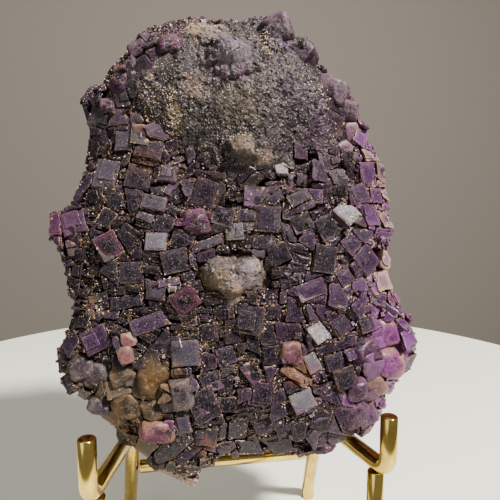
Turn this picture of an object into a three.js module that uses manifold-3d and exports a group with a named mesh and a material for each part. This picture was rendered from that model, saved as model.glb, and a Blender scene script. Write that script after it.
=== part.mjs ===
// Purple fluorite plate of intergrown cubes, leaning upright on a soldered brass wire stand.
// Millimetres, +Z up, the front faces -Y, the origin is the middle of the footprint on the ground.

import * as THREE from 'three';
import { mergeVertices } from 'three/addons/utils/BufferGeometryUtils.js';
import Module from 'manifold-3d';

const wasm = await Module();
wasm.setup();

// Driving dimensions of the stand
const ROD = 4;
const ROD_SIDES = 8;
const ARM_HEIGHT = 38;
const PRONG_RISE = 13.4;
const PRONG_HALF_SPACING = 33.9;
const ARM_RUN = 32;
const ARM_TOE_IN = 13;
const BEND_RADIUS = 4;
const FRONT_LEG_SETBACK = 4.6;
const REAR_FOOT_BACK = 52;
const BACK_REST_HEIGHT = 92;
const BACK_REST_SLOPE = 12;
const CROSSBAR_HEIGHT = 22;
const SOLDER_GAP = 0.3;

// Driving dimensions of the specimen, whose own frame is u across, v up its leaning face, w out of it
// It is set out 102 mm wide, and SET_OUT_SCALE brings it to its real width
const SET_OUT_SCALE = 0.932;
const LEAN = 12;
const SIDE_SHIFT = -1.1;
const BASE_BACK = 13.4;
const BASE_HEIGHT = 35.4;
const SEAT_FROM = 13;
const SEAT_WIDTH = 11;
const FRONT_DEPTH = 12.5;
const CORE_DEPTH = 11.2;
const RING_WANDER = 0.07;
const CORE_RINGS = [0.5, 0.78, 0.93, 1];
const DOME_PITCH = 6.1;
const BACK_DEPTH = 18;
const CENTRE = [2, 60];
const RIM_INSET = 0.3;
const DOME_CENTRE = [1, 98];
const DOME_SEAT = 6;
const DOME_RISE = 12.5;

const OUTLINE = [
  [-20.5, 123], [-15.5, 124.5], [-8, 125], [-1, 124.5], [5, 125.5], [9, 126.5], [12, 128], [15, 129],
  [18, 128], [21, 125.5], [22, 122], [25.5, 121], [27.5, 117], [29.5, 111], [35, 106.5], [39.5, 103],
  [41.5, 99], [41, 92], [41.5, 86], [44.5, 84.5], [46, 80.5], [46.5, 75], [46, 70], [48, 65], [48, 60],
  [46, 54], [47, 50], [46, 46], [48.5, 37.5], [51.5, 36], [53, 32], [54.5, 27.5], [53.5, 23],
  [50, 19.5], [46, 19], [44.5, 16], [42, 11], [38.5, 6.5], [34, 5], [30, 3.5], [25, 0.5], [22.5, 0.5],
  [16.5, 2.5], [10.5, 2], [4.5, 3.5], [-2.5, 2.5], [-7, 1], [-10.5, -1], [-13.5, -1.5], [-19.5, 0.5],
  [-24, 1.5], [-26.5, 6.5], [-31.5, 13], [-35.5, 16.5], [-41, 20.5], [-43.5, 25], [-45, 30.5],
  [-43.5, 35.5], [-41.5, 39], [-41, 44], [-41.5, 50], [-44, 54.5], [-46.5, 58.5], [-47.5, 64.5],
  [-46, 68.5], [-42, 70], [-39.5, 75], [-38, 80], [-37.5, 86], [-37, 100], [-34.5, 103.5], [-30, 109],
  [-27, 114.5], [-23.5, 121],
];

const DOME_OUTLINE = [
  [30, 84], [24, 81.5], [19, 79], [14.5, 77], [9, 73], [3, 71], [-4, 70], [-10, 73], [-15, 77],
  [-20, 82], [-26, 88], [-31, 93], [-34, 99], [-32, 104], [-28, 109], [-25, 114], [-21, 118.4],
  [-15, 120.2], [-8, 120.6], [0, 120.2], [8, 121.6], [14, 123.6], [18, 122], [20, 117.6], [24, 114.8],
  [26.5, 108.8], [32, 103.2], [36.6, 98.5], [39, 91], [37, 86],
];

// Broad swellings of the face: u, v, half-widths, height
const SWELLS = [
  [-1.5, 49.5, 9, 6, 4.5], [-14, 24, 10, 9, 2.5], [32, 60, 14, 22, 2], [-32, 55, 9, 18, -1.5],
  [20, 18, 14, 9, 1.5], [36, 28, 10, 9, 3], [-36, 28, 8, 8, -2], [5, 30, 12, 10, -1],
];

// Broad swellings of the dome: u, v, half-widths, height
const DOME_SWELLS = [
  [-8, 84, 7, 7, -3], [2.5, 81, 5, 4, 2.5], [0, 106, 6, 4, 2.5], [12, 115, 5, 5, 2.5],
  [-14, 108, 6, 5, 1.5], [22, 88, 9, 4, -1.5], [14, 97, 9, 7, 1], [-4, 94, 8, 4, 1],
];

// Leading cubes of the face: u, v, width, height, spin, tip up, turn right, rise
const LEADING_CUBES = [
  [-31.7, 77, 6.4, 8, -12, 6, -14, 2], [-27, 85, 4.6, 5.4, -4, 4, -8, 2],
  [-22.8, 86.5, 4.6, 5.6, -6, 8, 6, 3], [-29.3, 70.5, 5, 6.6, 10, -6, -6, 1.4],
  [-39.5, 64.5, 6, 6, 14, 8, -10, 2.6], [-19.6, 68.8, 6.2, 4, -14, 16, -4, 2.6],
  [-21.8, 65.4, 4.4, 2.6, -24, 12, 0, 1.6], [-30.8, 58.3, 5.8, 6.6, 28, 8, 12, 2.8],
  [-19.2, 58.9, 5.4, 4.8, -4, 14, -6, 3], [-14.7, 53.9, 6.6, 5.8, 12, 4, 4, 3],
  [-16.3, 48.8, 5.4, 2, 9, 20, 0, 2.4], [-20.9, 39.1, 9.5, 4, 18, 10, 4, 2.6],
  [-34.1, 35.3, 6.8, 6, 24, -4, -12, 3], [-12.6, 31.5, 6.6, 6.2, 1, 2, 4, 3.4],
  [-17.2, 32.2, 2.2, 5, -6, 2, -26, 2.4], [-13.4, 14.9, 4, 5.4, 8, 6, -10, 2.6],
  [-24.8, 26.6, 4.6, 5, 4, 8, -8, 2], [-29, 23.6, 6.2, 4.6, 16, 12, -12, 2.6],
  [-37.6, 27, 5.4, 6, 20, 2, -24, 2], [-12.4, 44.1, 6.6, 5.8, 34, -8, 8, 3],
  [0.5, 61.2, 4.6, 4.6, 2, 14, 2, 2], [3.6, 38.9, 6.8, 7.4, -14, 4, -4, 3],
  [11.8, 55.1, 5.4, 4.8, 24, -6, 2, 2.2], [24.8, 62.1, 6.2, 6.2, 30, 2, 2, 2.4],
  [23.5, 53.6, 5.8, 7.2, -10, 4, 4, 3], [18, 63.2, 5.4, 4.8, 22, 6, -4, 2.2],
  [20, 58.9, 5, 4, -32, 0, 2, 1.8], [17.5, 69.8, 6, 3.4, 26, 12, 0, 2.4],
  [28.8, 75.8, 5.2, 4.4, 20, 14, 6, 2.4], [29.9, 65.5, 6.1, 6.1, 37, 24, 16, 3.4],
  [14.4, 79.2, 4.4, 3, -14, 22, 8, 2.6], [31.1, 57.7, 5, 4.8, 42, 8, 14, 2.4],
  [35.6, 53.4, 6.6, 6.6, 40, 4, 18, 2.8], [34.9, 60, 6.8, 4, -12, 10, 16, 2],
  [34.6, 71.2, 6, 5, 24, 10, 18, 2.6], [21, 34.9, 4.9, 4.9, 27, 24, 12, 3.2],
  [14.2, 30.2, 5.4, 5, -6, 8, 2, 3.2], [19.3, 27.5, 3.8, 5, 22, 12, 6, 2.4],
  [14.6, 24.6, 7.4, 2.8, -38, 14, -6, 2.4], [27.8, 23.2, 6, 5.2, 16, 4, 6, 2.8],
  [19.6, 45.9, 8, 4.4, 20, 14, 4, 2.8], [27.3, 43.6, 6, 6, -20, 6, 10, 2.6],
  [32.1, 40.6, 3.6, 4.4, 34, 4, 20, 2.8], [16.5, 18.2, 6.2, 5, 20, 18, 2, 2.8],
  [17.2, 11.4, 7.6, 6, 20, -10, 2, 2.6], [21.8, 13.8, 5.4, 7.4, -18, -6, 12, 2.6],
  [30, 15.4, 7, 8, 14, -4, 20, 2.4], [-42.3, 30.5, 4.6, 6.5, 8, 0, -30, 1],
  [-44.4, 64.5, 4.4, 7, 4, 4, -30, 1], [-41.4, 24.4, 4, 5, 30, -10, -30, 1],
  [-8, 10.5, 6, 5, -8, -12, -2, 1.8], [27.5, 36.5, 5.4, 5, 30, 6, 8, 2.2],
];

// Cubes whose face is framed by lower terraces: u, v, width, height, spin, tip up, turn right, rise, terraces
const TERRACED_CUBES = [
  [-25.3, 51.4, 5.8, 5.4, 3, 6, -2, 3.2, 3], [29, 49, 4.6, 4.2, 28, 6, 12, 2.6, 2],
  [6.5, 20.5, 5, 5, -12, 2, 2, 2.6, 2],
];

// Six-sided plates: u, v, radius, spin, tip up, turn right, rise
const HEXAGONAL_PLATES = [
  [-8.3, 18.8, 3.9, 20, 4, 4, 3.2], [-33.5, 92.5, 3, 10, 0, -20, 1.6], [25.5, 27, 2.8, 0, 6, 8, 2],
];

// Rounded crystals: u, v, height of the crown above the outline plane, half-widths across, up and out
const ROUNDED_CRYSTALS = [
  [41.7, 33.5, 9.4, 4.3, 4, 4.4], [41.2, 25.8, 10.6, 4.6, 4.3, 4.6], [46.4, 29.4, 4.2, 3.6, 3.4, 4.2],
  [36.4, 20.9, 11.3, 3.9, 3.6, 5], [33.8, 28, 15, 4.4, 4.1, 6], [30.9, 20.4, 14.4, 2.5, 2.3, 5],
  [-9.1, 63.6, 17, 3.6, 3.6, 6], [-14.5, 22.8, 18, 3.2, 4, 7.5], [-25.8, 35, 15.4, 2, 1.8, 5],
  [-26.4, 32, 15.4, 1.9, 2, 5], [-17.6, 12.4, 14.6, 4.2, 2.4, 6], [-0.8, 49.4, 17, 8.8, 5.6, 11],
  [-5, 51.6, 18.6, 4.2, 3.4, 8], [3.8, 52, 18.2, 4.2, 3.2, 8], [-0.5, 46.8, 18, 4.2, 3, 8],
  [-26.8, 9, -1, 4.6, 4.4, 6], [-19, 3.8, 7.6, 4, 3.2, 4.6], [-12.2, 2.4, 8.8, 4.4, 3, 4.8],
  [24, 4.4, 7, 4.4, 3, 5], [40.5, 14.5, 5, 3.6, 4, 5], [-21.3, 111.7, 16, 3, 2.8, 4],
  [-26, 107, 12.6, 2.8, 2.8, 4], [0.4, 106, 23, 4.8, 3.2, 5], [12.2, 115.6, 19.6, 4.2, 4.2, 5],
  [14.8, 121.6, 12.5, 4, 3.8, 5], [20.3, 111.2, 17.4, 3.4, 3.4, 5], [28, 98.4, 17.8, 4.1, 3.5, 5],
  [33.4, 95.2, 14.4, 3.4, 3.4, 5], [34.4, 89, 12.4, 2.8, 3.2, 4.5], [2.6, 81, 20.4, 4.2, 3.2, 6],
  [9.6, 78.6, 17.6, 3.4, 2.6, 6],
];
const SMOOTHER_FROM = 4.25;

// Stacks of thin parallel plates: u, v, plate length, plate thickness, spin, count
const PLATE_STACKS = [
  [-37, 57.5, 8.5, 1.9, 12, 3], [-37.5, 49.5, 8, 1.9, -6, 3], [-33, 43.5, 8, 1.8, 6, 3],
  [15.5, 51.5, 6.5, 1.7, 52, 2], [-12.5, 37, 8, 1.8, 14, 2], [28.5, 39.5, 6.5, 1.7, 24, 2],
  [37.5, 44.5, 7, 1.7, -18, 3], [3.5, 25.5, 7, 1.8, -56, 2],
];

// Fill of smaller cubes
const FACE_PITCH = 6.8;
const FACE_CUBE = [4.4, 7.4];
const RIM_PITCH = 14;
const RIM_CUBE = [5, 7.5];
const RIM_SINK = 2;
const BACK_PITCH = 24;
const BACK_CUBE = [9, 14];
const BACK_CUBE_DEPTH = 9.8;
const CUBE_DEPTH = 7;

// Broken planes of the back: lean of each plane across and up, and its distance from the specimen's centre
const BREAKS = [
  [0.42, -0.2, 24], [-0.5, 0.34, 28.5], [0.1, 0.62, 33], [-0.16, -0.5, 30], [0.04, 0.05, 16.2],
  [-0.3, -0.1, 20.5], [0.25, 0.16, 21],
];

const STONE = new THREE.MeshStandardMaterial({ color: 0x3a2a48, roughness: 0.28, metalness: 0 });
const BRASS = new THREE.MeshStandardMaterial({ color: 0xd8b75a, roughness: 0.22, metalness: 1 });

const rad = THREE.MathUtils.degToRad;

// Repeatable random numbers between 0 and 1
function makeRandom(seed) {
  let state = seed;
  return () => {
    state = (state + 0x6d2b79f5) | 0;
    let t = Math.imul(state ^ (state >>> 15), 1 | state);
    t = (t + Math.imul(t ^ (t >>> 7), 61 | t)) ^ t;
    return ((t ^ (t >>> 14)) >>> 0) / 4294967296;
  };
}

const random = makeRandom(4);
const between = (low, high) => low + (high - low) * random();

function toSolid(geometry) {
  const bare = geometry.clone();
  bare.deleteAttribute('normal');
  bare.deleteAttribute('uv');
  const merged = mergeVertices(bare, 1e-5);
  const vertProperties = Float32Array.from(merged.attributes.position.array);
  const triVerts = Uint32Array.from(merged.index.array);
  return new wasm.Manifold(new wasm.Mesh({ numProp: 3, vertProperties, triVerts }));
}

function toGeometry(solid) {
  const mesh = solid.getMesh();
  const geometry = new THREE.BufferGeometry();
  geometry.setAttribute('position', new THREE.BufferAttribute(mesh.vertProperties, 3));
  geometry.setIndex(new THREE.BufferAttribute(mesh.triVerts, 1));
  geometry.computeVertexNormals();
  return geometry;
}

// How far a point lies from a centre, as a share of the way to the closed outline
function reach(u, v, outline, centre) {
  const du = u - centre[0];
  const dv = v - centre[1];
  let nearest = Infinity;
  outline.forEach(([au, av], i) => {
    const [bu, bv] = outline[(i + 1) % outline.length];
    const eu = bu - au;
    const ev = bv - av;
    const cross = du * ev - dv * eu;
    if (Math.abs(cross) < 1e-9) return;
    const along = ((au - centre[0]) * ev - (av - centre[1]) * eu) / cross;
    const edge = ((au - centre[0]) * dv - (av - centre[1]) * du) / cross;
    if (along > 0 && edge >= 0 && edge <= 1) nearest = Math.min(nearest, along);
  });
  return 1 / nearest;
}

const rounding = (share, power) => Math.sqrt(Math.max(0, 1 - share ** power));

function swell(u, v, list) {
  return list.reduce((sum, [cu, cv, ru, rv, height]) => (
    sum + height * Math.exp(-(((u - cu) / ru) ** 2) - ((v - cv) / rv) ** 2)
  ), 0);
}

const waves = (u, v) => 0.7 * Math.sin(u / 3.1 + v / 7.3) + 0.6 * Math.sin(v / 3.7 - u / 5.9 + 1.7);

// Uneven shift of a lattice point, alike wherever the same point comes up again
const stray = (a, b) => 0.8 * DOME_PITCH * ((Math.abs(Math.sin(a * 127.1 + b * 311.7)) * 4375.85) % 1 - 0.5);

function faceHeight(u, v) {
  const share = reach(u, v, OUTLINE, CENTRE);
  return (FRONT_DEPTH + swell(u, v, SWELLS)) * rounding(share, 3.4);
}

function coreHeight(u, v) {
  return CORE_DEPTH * rounding(reach(u, v, OUTLINE, CENTRE), 3.4);
}

function domeHeight(u, v) {
  const share = reach(u, v, DOME_OUTLINE, DOME_CENTRE);
  const top = DOME_RISE + swell(u, v, DOME_SWELLS) + waves(u, v);
  return Math.max(DOME_SEAT / 2, DOME_SEAT + top * rounding(share, 2.6));
}

function backHeight(u, v) {
  const share = reach(u, v, OUTLINE, CENTRE);
  return -(BACK_DEPTH + 1.6 * waves(u * 0.5, v * 0.5)) * rounding(share, 2.8);
}

// Closed pillow over an outline: rings at their shares of the way out, a height for each side, one shared rim
function pillow(outline, centre, shares, inset, frontOf, backOf) {
  const count = outline.length;
  const rings = shares.length;
  const at = (i, share) => {
    const [ou, ov] = outline[i];
    const length = Math.hypot(ou - centre[0], ov - centre[1]);
    const kept = share * (1 - inset / length);
    return [centre[0] + (ou - centre[0]) * kept, centre[1] + (ov - centre[1]) * kept];
  };
  const points = [];
  const faces = [];
  const side = (heightOf, flip) => {
    const hub = points.push([...centre, heightOf(...centre)]) - 1;
    const ringStart = points.length;
    for (let ring = 1; ring < rings; ring += 1) {
      for (let i = 0; i < count; i += 1) {
        const [u, v] = at(i, shares[ring - 1] * (1 + RING_WANDER * Math.sin(i * 2.7 + ring * 1.9)));
        points.push([u, v, heightOf(u, v)]);
      }
    }
    return { hub, ringStart, flip };
  };
  const rim = outline.map((_, i) => points.push([...at(i, 1), 0]) - 1);
  [side(frontOf, false), side(backOf, true)].forEach(({ hub, ringStart, flip }) => {
    const node = (ring, i) => {
      if (ring === 0) return hub;
      if (ring === rings) return rim[i % count];
      return ringStart + (ring - 1) * count + (i % count);
    };
    const add = (a, b, c) => faces.push(...(flip ? [a, b, c] : [a, c, b]));
    for (let i = 0; i < count; i += 1) {
      add(hub, node(1, i), node(1, i + 1));
      for (let ring = 1; ring < rings; ring += 1) {
        add(node(ring, i), node(ring + 1, i), node(ring + 1, i + 1));
        add(node(ring, i), node(ring + 1, i + 1), node(ring, i + 1));
      }
    }
  });
  const geometry = new THREE.BufferGeometry();
  geometry.setAttribute('position', new THREE.BufferAttribute(new Float32Array(points.flat()), 3));
  geometry.setIndex(faces);
  return toSolid(geometry);
}

// Block whose upper side follows a height, kept inside an outline
function terrain(outline, centre, pitch, heightOf) {
  const box = new THREE.Box2().setFromPoints(outline.map(([u, v]) => new THREE.Vector2(u, v)));
  const size = box.getSize(new THREE.Vector2()).addScalar(2 * pitch);
  const middle = box.getCenter(new THREE.Vector2());
  const cells = [Math.round(size.x / pitch), Math.round(size.y / pitch)];
  const geometry = new THREE.BoxGeometry(size.x, size.y, 2, ...cells, 1);
  geometry.translate(middle.x, middle.y, 0);
  const position = geometry.attributes.position;
  for (let i = 0; i < position.count; i += 1) {
    const [x, y] = [Math.round(position.getX(i) * 100) / 100, Math.round(position.getY(i) * 100) / 100];
    const [u, v] = [x + stray(x, y), y + stray(y, x)];
    position.setXYZ(i, u, v, position.getZ(i) > 0 ? heightOf(u, v) : -1);
  }
  const outlineShape = new THREE.Shape(outline.map(([u, v]) => new THREE.Vector2(u, v)));
  const inside = new THREE.ExtrudeGeometry(outlineShape, { depth: 60, bevelEnabled: false });
  return toSolid(geometry).intersect(toSolid(inside));
}

// Slope of the face at a point, as the tip up and the turn right of a crystal that grows straight out
function faceSlope(u, v, heightOf) {
  const step = 2;
  const slopeU = (heightOf(u + step, v) - heightOf(u - step, v)) / (2 * step);
  const slopeV = (heightOf(u, v + step) - heightOf(u, v - step)) / (2 * step);
  const limit = 1.4;
  const clamp = (slope) => THREE.MathUtils.clamp(slope, -limit, limit);
  const degrees = (slope) => THREE.MathUtils.radToDeg(Math.atan(-clamp(slope)));
  return { tip: degrees(slopeV), turn: degrees(slopeU) };
}

// A block whose front face is centred at u, v, w, turned by spin, tip and turn in degrees
function block(u, v, w, width, height, depth, spin, tip, turn, shape) {
  const geometry = shape || new THREE.BoxGeometry(width, height, depth);
  const turned = new THREE.Matrix4().makeRotationFromEuler(
    new THREE.Euler(rad(-tip), rad(turn), rad(spin), 'YXZ'),
  );
  geometry.translate(0, 0, -depth / 2);
  geometry.applyMatrix4(turned);
  geometry.translate(u, v, w);
  return toSolid(geometry);
}

function leadingCubes() {
  return LEADING_CUBES.map(([u, v, width, height, spin, tip, turn, rise]) => (
    block(u, v, faceHeight(u, v) + rise, width, height, CUBE_DEPTH, spin, tip, turn)
  ));
}

function terracedCubes() {
  const step = 0.7;
  return TERRACED_CUBES.flatMap(([u, v, width, height, spin, tip, turn, rise, terraces]) => (
    Array.from({ length: terraces }, (_, level) => {
      const grow = 1.6 * level;
      const top = faceHeight(u, v) + rise - step * level;
      return block(u, v, top, width + grow, height + grow, CUBE_DEPTH, spin, tip, turn);
    })
  ));
}

function hexagonalPlates() {
  return HEXAGONAL_PLATES.map(([u, v, radius, spin, tip, turn, rise]) => {
    const shape = new THREE.CylinderGeometry(radius, radius, CUBE_DEPTH, 6).rotateX(Math.PI / 2);
    return block(u, v, faceHeight(u, v) + rise, 0, 0, CUBE_DEPTH, spin, tip, turn, shape);
  });
}

function roundedCrystals() {
  return ROUNDED_CRYSTALS.map(([u, v, crown, across, up, out]) => {
    const shape = new THREE.IcosahedronGeometry(1, across > SMOOTHER_FROM ? 1 : 0);
    shape.rotateZ(between(0, Math.PI));
    shape.rotateX(between(0, Math.PI));
    shape.scale(across, up, out);
    shape.translate(u, v, crown - out);
    return toSolid(shape);
  });
}

function plateStacks() {
  return PLATE_STACKS.flatMap(([u, v, length, thickness, spin, count]) => (
    Array.from({ length: count }, (_, i) => {
      const pitch = thickness * 1.18;
      const offset = (i - (count - 1) / 2) * pitch;
      const pu = u - Math.sin(rad(spin)) * offset + between(-0.8, 0.8);
      const pv = v + Math.cos(rad(spin)) * offset;
      const top = faceHeight(pu, pv) + between(1.2, 2.6);
      const long = length * between(0.75, 1.05);
      const turned = [spin + between(-3, 3), between(2, 14), between(-8, 8)];
      return block(pu, pv, top, long, thickness, CUBE_DEPTH, ...turned);
    })
  ));
}

// True where a hand-placed crystal already stands
function taken(u, v, margin) {
  const hit = (cu, cv, half) => Math.hypot(u - cu, v - cv) < half + margin;
  return LEADING_CUBES.some(([cu, cv, width, height]) => hit(cu, cv, (width + height) / 4))
    || TERRACED_CUBES.some(([cu, cv, width]) => hit(cu, cv, width * 0.7))
    || HEXAGONAL_PLATES.some(([cu, cv, radius]) => hit(cu, cv, radius))
    || ROUNDED_CRYSTALS.some(([cu, cv, , across, up]) => hit(cu, cv, (across + up) / 2))
    || PLATE_STACKS.some(([cu, cv, length]) => hit(cu, cv, length * 0.45));
}

function faceFill() {
  const cubes = [];
  for (let row = 0; row * FACE_PITCH * 0.87 < 130; row += 1) {
    for (let column = -8; column <= 8; column += 1) {
      const u = (column + (row % 2) / 2) * FACE_PITCH + between(-1.2, 1.2);
      const v = row * FACE_PITCH * 0.87 + between(-1.2, 1.2);
      const size = between(...FACE_CUBE);
      const spin = 14 * Math.sin(u / 19) + 12 * Math.cos(v / 23) + between(-16, 16);
      const rise = between(0.6, 2.2);
      const lean = [between(-12, 16), between(-12, 12)];
      const covered = reach(u, v, DOME_OUTLINE, DOME_CENTRE) < 0.97;
      if (reach(u, v, OUTLINE, CENTRE) > 0.93 || covered || taken(u, v, size * 0.2)) continue;
      const { tip, turn } = faceSlope(u, v, faceHeight);
      const stretch = between(0.75, 1.15);
      cubes.push(block(
        u, v, faceHeight(u, v) + rise, size, size * stretch, CUBE_DEPTH, spin, tip + lean[0], turn + lean[1],
      ));
    }
  }
  return cubes;
}

// Point and outward direction at a distance along the outline
function alongOutline(distance) {
  let left = distance;
  for (let i = 0; ; i = (i + 1) % OUTLINE.length) {
    const [au, av] = OUTLINE[i];
    const [bu, bv] = OUTLINE[(i + 1) % OUTLINE.length];
    const length = Math.hypot(bu - au, bv - av);
    if (left <= length) {
      const share = left / length;
      const outward = Math.atan2(bu - au, -(bv - av));
      return { u: au + (bu - au) * share, v: av + (bv - av) * share, outward };
    }
    left -= length;
  }
}

// Cubes along the edge, growing outward between the face and the back
function rimFill() {
  const around = OUTLINE.reduce((sum, [au, av], i) => {
    const [bu, bv] = OUTLINE[(i + 1) % OUTLINE.length];
    return sum + Math.hypot(bu - au, bv - av);
  }, 0);
  const count = Math.floor(around / RIM_PITCH);
  return Array.from({ length: count }, (_, i) => {
    const { u, v, outward } = alongOutline((i + between(0, 0.5)) * (around / count));
    const crowded = taken(u, v, 2);
    const size = between(...RIM_CUBE);
    const shape = new THREE.BoxGeometry(size, size * between(0.7, 1), size * between(0.8, 1.2));
    shape.rotateX(rad(between(-14, 14)));
    shape.rotateY(rad(between(-14, 14)));
    shape.rotateZ(outward + rad(between(-12, 12)));
    const sink = size / 2 + RIM_SINK;
    shape.translate(u - Math.cos(outward) * sink, v - Math.sin(outward) * sink, between(-1.5, 1.5));
    return crowded ? [] : [toSolid(shape)];
  }).flat();
}

function backFill() {
  const cubes = [];
  for (let row = 0; row * BACK_PITCH < 130; row += 1) {
    for (let column = -4; column <= 4; column += 1) {
      const u = column * BACK_PITCH + between(-4, 4);
      const v = row * BACK_PITCH + between(-4, 4);
      const size = between(...BACK_CUBE);
      const lean = [between(-16, 16), between(-16, 16)];
      const spin = between(-25, 25);
      const rise = between(-0.6, 1.2);
      if (reach(u, v, OUTLINE, CENTRE) > 0.86) continue;
      const { tip, turn } = faceSlope(u, v, (a, b) => -backHeight(a, b));
      const depth = BACK_CUBE_DEPTH;
      const shape = new THREE.BoxGeometry(size, size * between(0.6, 1.1), depth);
      shape.translate(0, 0, -depth / 2);
      shape.rotateZ(rad(spin));
      shape.rotateX(rad(-(tip + lean[0])));
      shape.rotateY(rad(turn + lean[1]));
      shape.translate(0, 0, -backHeight(u, v) + rise);
      shape.rotateY(Math.PI);
      shape.translate(u, v, 0);
      cubes.push(toSolid(shape));
    }
  }
  return cubes;
}

// Large blocks taken off the back, each along one broken plane
function breakBlocks() {
  const size = 200;
  const ahead = new THREE.Vector3(0, 0, 1);
  return BREAKS.map(([across, up, distance]) => {
    const normal = new THREE.Vector3(across, up, -1).normalize();
    const shape = new THREE.BoxGeometry(size, size, size);
    shape.translate(0, 0, size / 2 + distance);
    shape.applyQuaternion(new THREE.Quaternion().setFromUnitVectors(ahead, normal));
    shape.translate(CENTRE[0], CENTRE[1], 0);
    return toSolid(shape);
  });
}

// Path of a bent rod: points in order, with the turn shared out at each of them
class RodPath extends THREE.Curve {
  constructor(points) {
    super();
    this.points = points;
  }

  getPoint(t) {
    const last = this.points.length - 1;
    const index = Math.min(Math.floor(t * last), last - 1);
    return this.points[index].clone().lerp(this.points[index + 1], t * last - index);
  }

  getPointAt(t) {
    return this.getPoint(t);
  }

  getTangentAt(t) {
    const last = this.points.length - 1;
    const index = Math.round(t * last);
    const tangent = new THREE.Vector3();
    if (index > 0) tangent.add(this.points[index].clone().sub(this.points[index - 1]).normalize());
    if (index < last) tangent.add(this.points[index + 1].clone().sub(this.points[index]).normalize());
    return tangent.normalize();
  }
}

// Points of a corner rounded between two straight runs
function rounded(from, corner, to, radius, steps) {
  const into = corner.clone().sub(from).normalize();
  const out = to.clone().sub(corner).normalize();
  const trim = radius * Math.tan(into.angleTo(out) / 2);
  const start = corner.clone().addScaledVector(into, -trim);
  const end = corner.clone().addScaledVector(out, trim);
  const curve = new THREE.QuadraticBezierCurve3(start, corner, end);
  return curve.getPoints(steps);
}

function rod(points) {
  const section = new THREE.Shape();
  for (let i = 0; i < ROD_SIDES; i += 1) {
    const angle = (i * 2 * Math.PI) / ROD_SIDES;
    section[i ? 'lineTo' : 'moveTo'](Math.cos(angle) * ROD / 2, Math.sin(angle) * ROD / 2);
  }
  section.closePath();
  return new THREE.ExtrudeGeometry(section, {
    steps: points.length - 1, extrudePath: new RodPath(points), bevelEnabled: false,
  });
}

// Way back along an arm from its elbow, for the left (-1) or the right (+1) side
function alongArm(side, distance, height) {
  const angle = rad(ARM_TOE_IN);
  const x = side * (PRONG_HALF_SPACING - Math.sin(angle) * distance);
  return new THREE.Vector3(x, Math.cos(angle) * distance, height);
}

function prongArm(side) {
  const top = alongArm(side, 0, ARM_HEIGHT + PRONG_RISE);
  const elbow = alongArm(side, 0, ARM_HEIGHT);
  const end = alongArm(side, ARM_RUN - ROD / 2 - SOLDER_GAP, ARM_HEIGHT);
  return rod([top, ...rounded(top, elbow, end, BEND_RADIUS, 5), end]);
}

function frontLeg(side) {
  const top = ARM_HEIGHT - ROD / 2 - SOLDER_GAP;
  return rod([alongArm(side, FRONT_LEG_SETBACK, 0), alongArm(side, FRONT_LEG_SETBACK, top)]);
}

function rearPostLine(side) {
  const joint = alongArm(side, ARM_RUN, ARM_HEIGHT);
  const climb = BACK_REST_HEIGHT - ARM_HEIGHT;
  const tip = new THREE.Vector3(joint.x, joint.y + Math.tan(rad(BACK_REST_SLOPE)) * climb, BACK_REST_HEIGHT);
  const foot = new THREE.Vector3(joint.x + side * 3, REAR_FOOT_BACK, ROD);
  return { joint, tip, foot };
}

function rearPost(side) {
  const { joint, tip, foot } = rearPostLine(side);
  const ground = foot.clone().setZ(0);
  return rod([ground, foot, ...rounded(foot, joint, tip, BEND_RADIUS * 3, 3), tip]);
}

function crossbar() {
  const ends = [-1, 1].map((side) => {
    const { joint, foot } = rearPostLine(side);
    const share = (CROSSBAR_HEIGHT - foot.z) / (joint.z - foot.z);
    const point = foot.clone().lerp(joint, share);
    point.x -= side * (ROD / 2 + SOLDER_GAP + 0.1);
    return point;
  });
  return rod(ends);
}

// From the specimen's own frame to the stand's
function leaned(geometry) {
  const matrix = new THREE.Matrix4().makeBasis(
    new THREE.Vector3(1, 0, 0),
    new THREE.Vector3(0, Math.sin(rad(LEAN)), Math.cos(rad(LEAN))),
    new THREE.Vector3(0, -Math.cos(rad(LEAN)), Math.sin(rad(LEAN))),
  );
  matrix.scale(new THREE.Vector3(SET_OUT_SCALE, SET_OUT_SCALE, SET_OUT_SCALE));
  matrix.setPosition(SIDE_SHIFT, BASE_BACK, BASE_HEIGHT);
  return geometry.applyMatrix4(matrix);
}

// Room for an arm of the stand under the specimen, whose underside rests flat along it
function seatBlock(side) {
  const length = 80;
  const depth = 30;
  const room = new THREE.BoxGeometry(SEAT_WIDTH, length, depth);
  room.translate(0, length / 2 + SEAT_FROM, -depth / 2);
  room.rotateZ(side * rad(ARM_TOE_IN));
  const elbow = alongArm(side, 0, ARM_HEIGHT + ROD / 2 + SOLDER_GAP);
  room.translate(elbow.x, elbow.y, elbow.z);
  return toSolid(room);
}

function fluoriteCluster() {
  const coarseOutline = OUTLINE.filter((_, i) => i % 2 === 1);
  const core = pillow(coarseOutline, CENTRE, CORE_RINGS, RIM_INSET, coreHeight, backHeight);
  const dome = terrain(DOME_OUTLINE, DOME_CENTRE, DOME_PITCH, domeHeight);
  let body = wasm.Manifold.union([core, ...backFill()]);
  breakBlocks().forEach((cut) => {
    body = body.subtract(cut);
  });
  const crystals = [
    dome, ...leadingCubes(), ...terracedCubes(), ...hexagonalPlates(), ...roundedCrystals(), ...plateStacks(),
    ...faceFill(), ...rimFill(),
  ];
  const shells = wasm.Manifold.union([body, ...crystals]).decompose();
  const outer = shells.reduce((best, shell) => (shell.volume() > best.volume() ? shell : best));
  const placed = toSolid(leaned(toGeometry(outer)));
  return placed.subtract(seatBlock(-1)).subtract(seatBlock(1));
}

const pieces = [];
[['left', -1], ['right', 1]].forEach(([name, side]) => {
  pieces.push([`${name}_prong_arm`, prongArm(side), BRASS]);
  pieces.push([`${name}_front_leg`, frontLeg(side), BRASS]);
  pieces.push([`${name}_rear_post`, rearPost(side), BRASS]);
});
pieces.push(['rear_crossbar', crossbar(), BRASS]);
pieces.unshift(['fluorite_cluster', toGeometry(fluoriteCluster()), STONE]);

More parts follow.
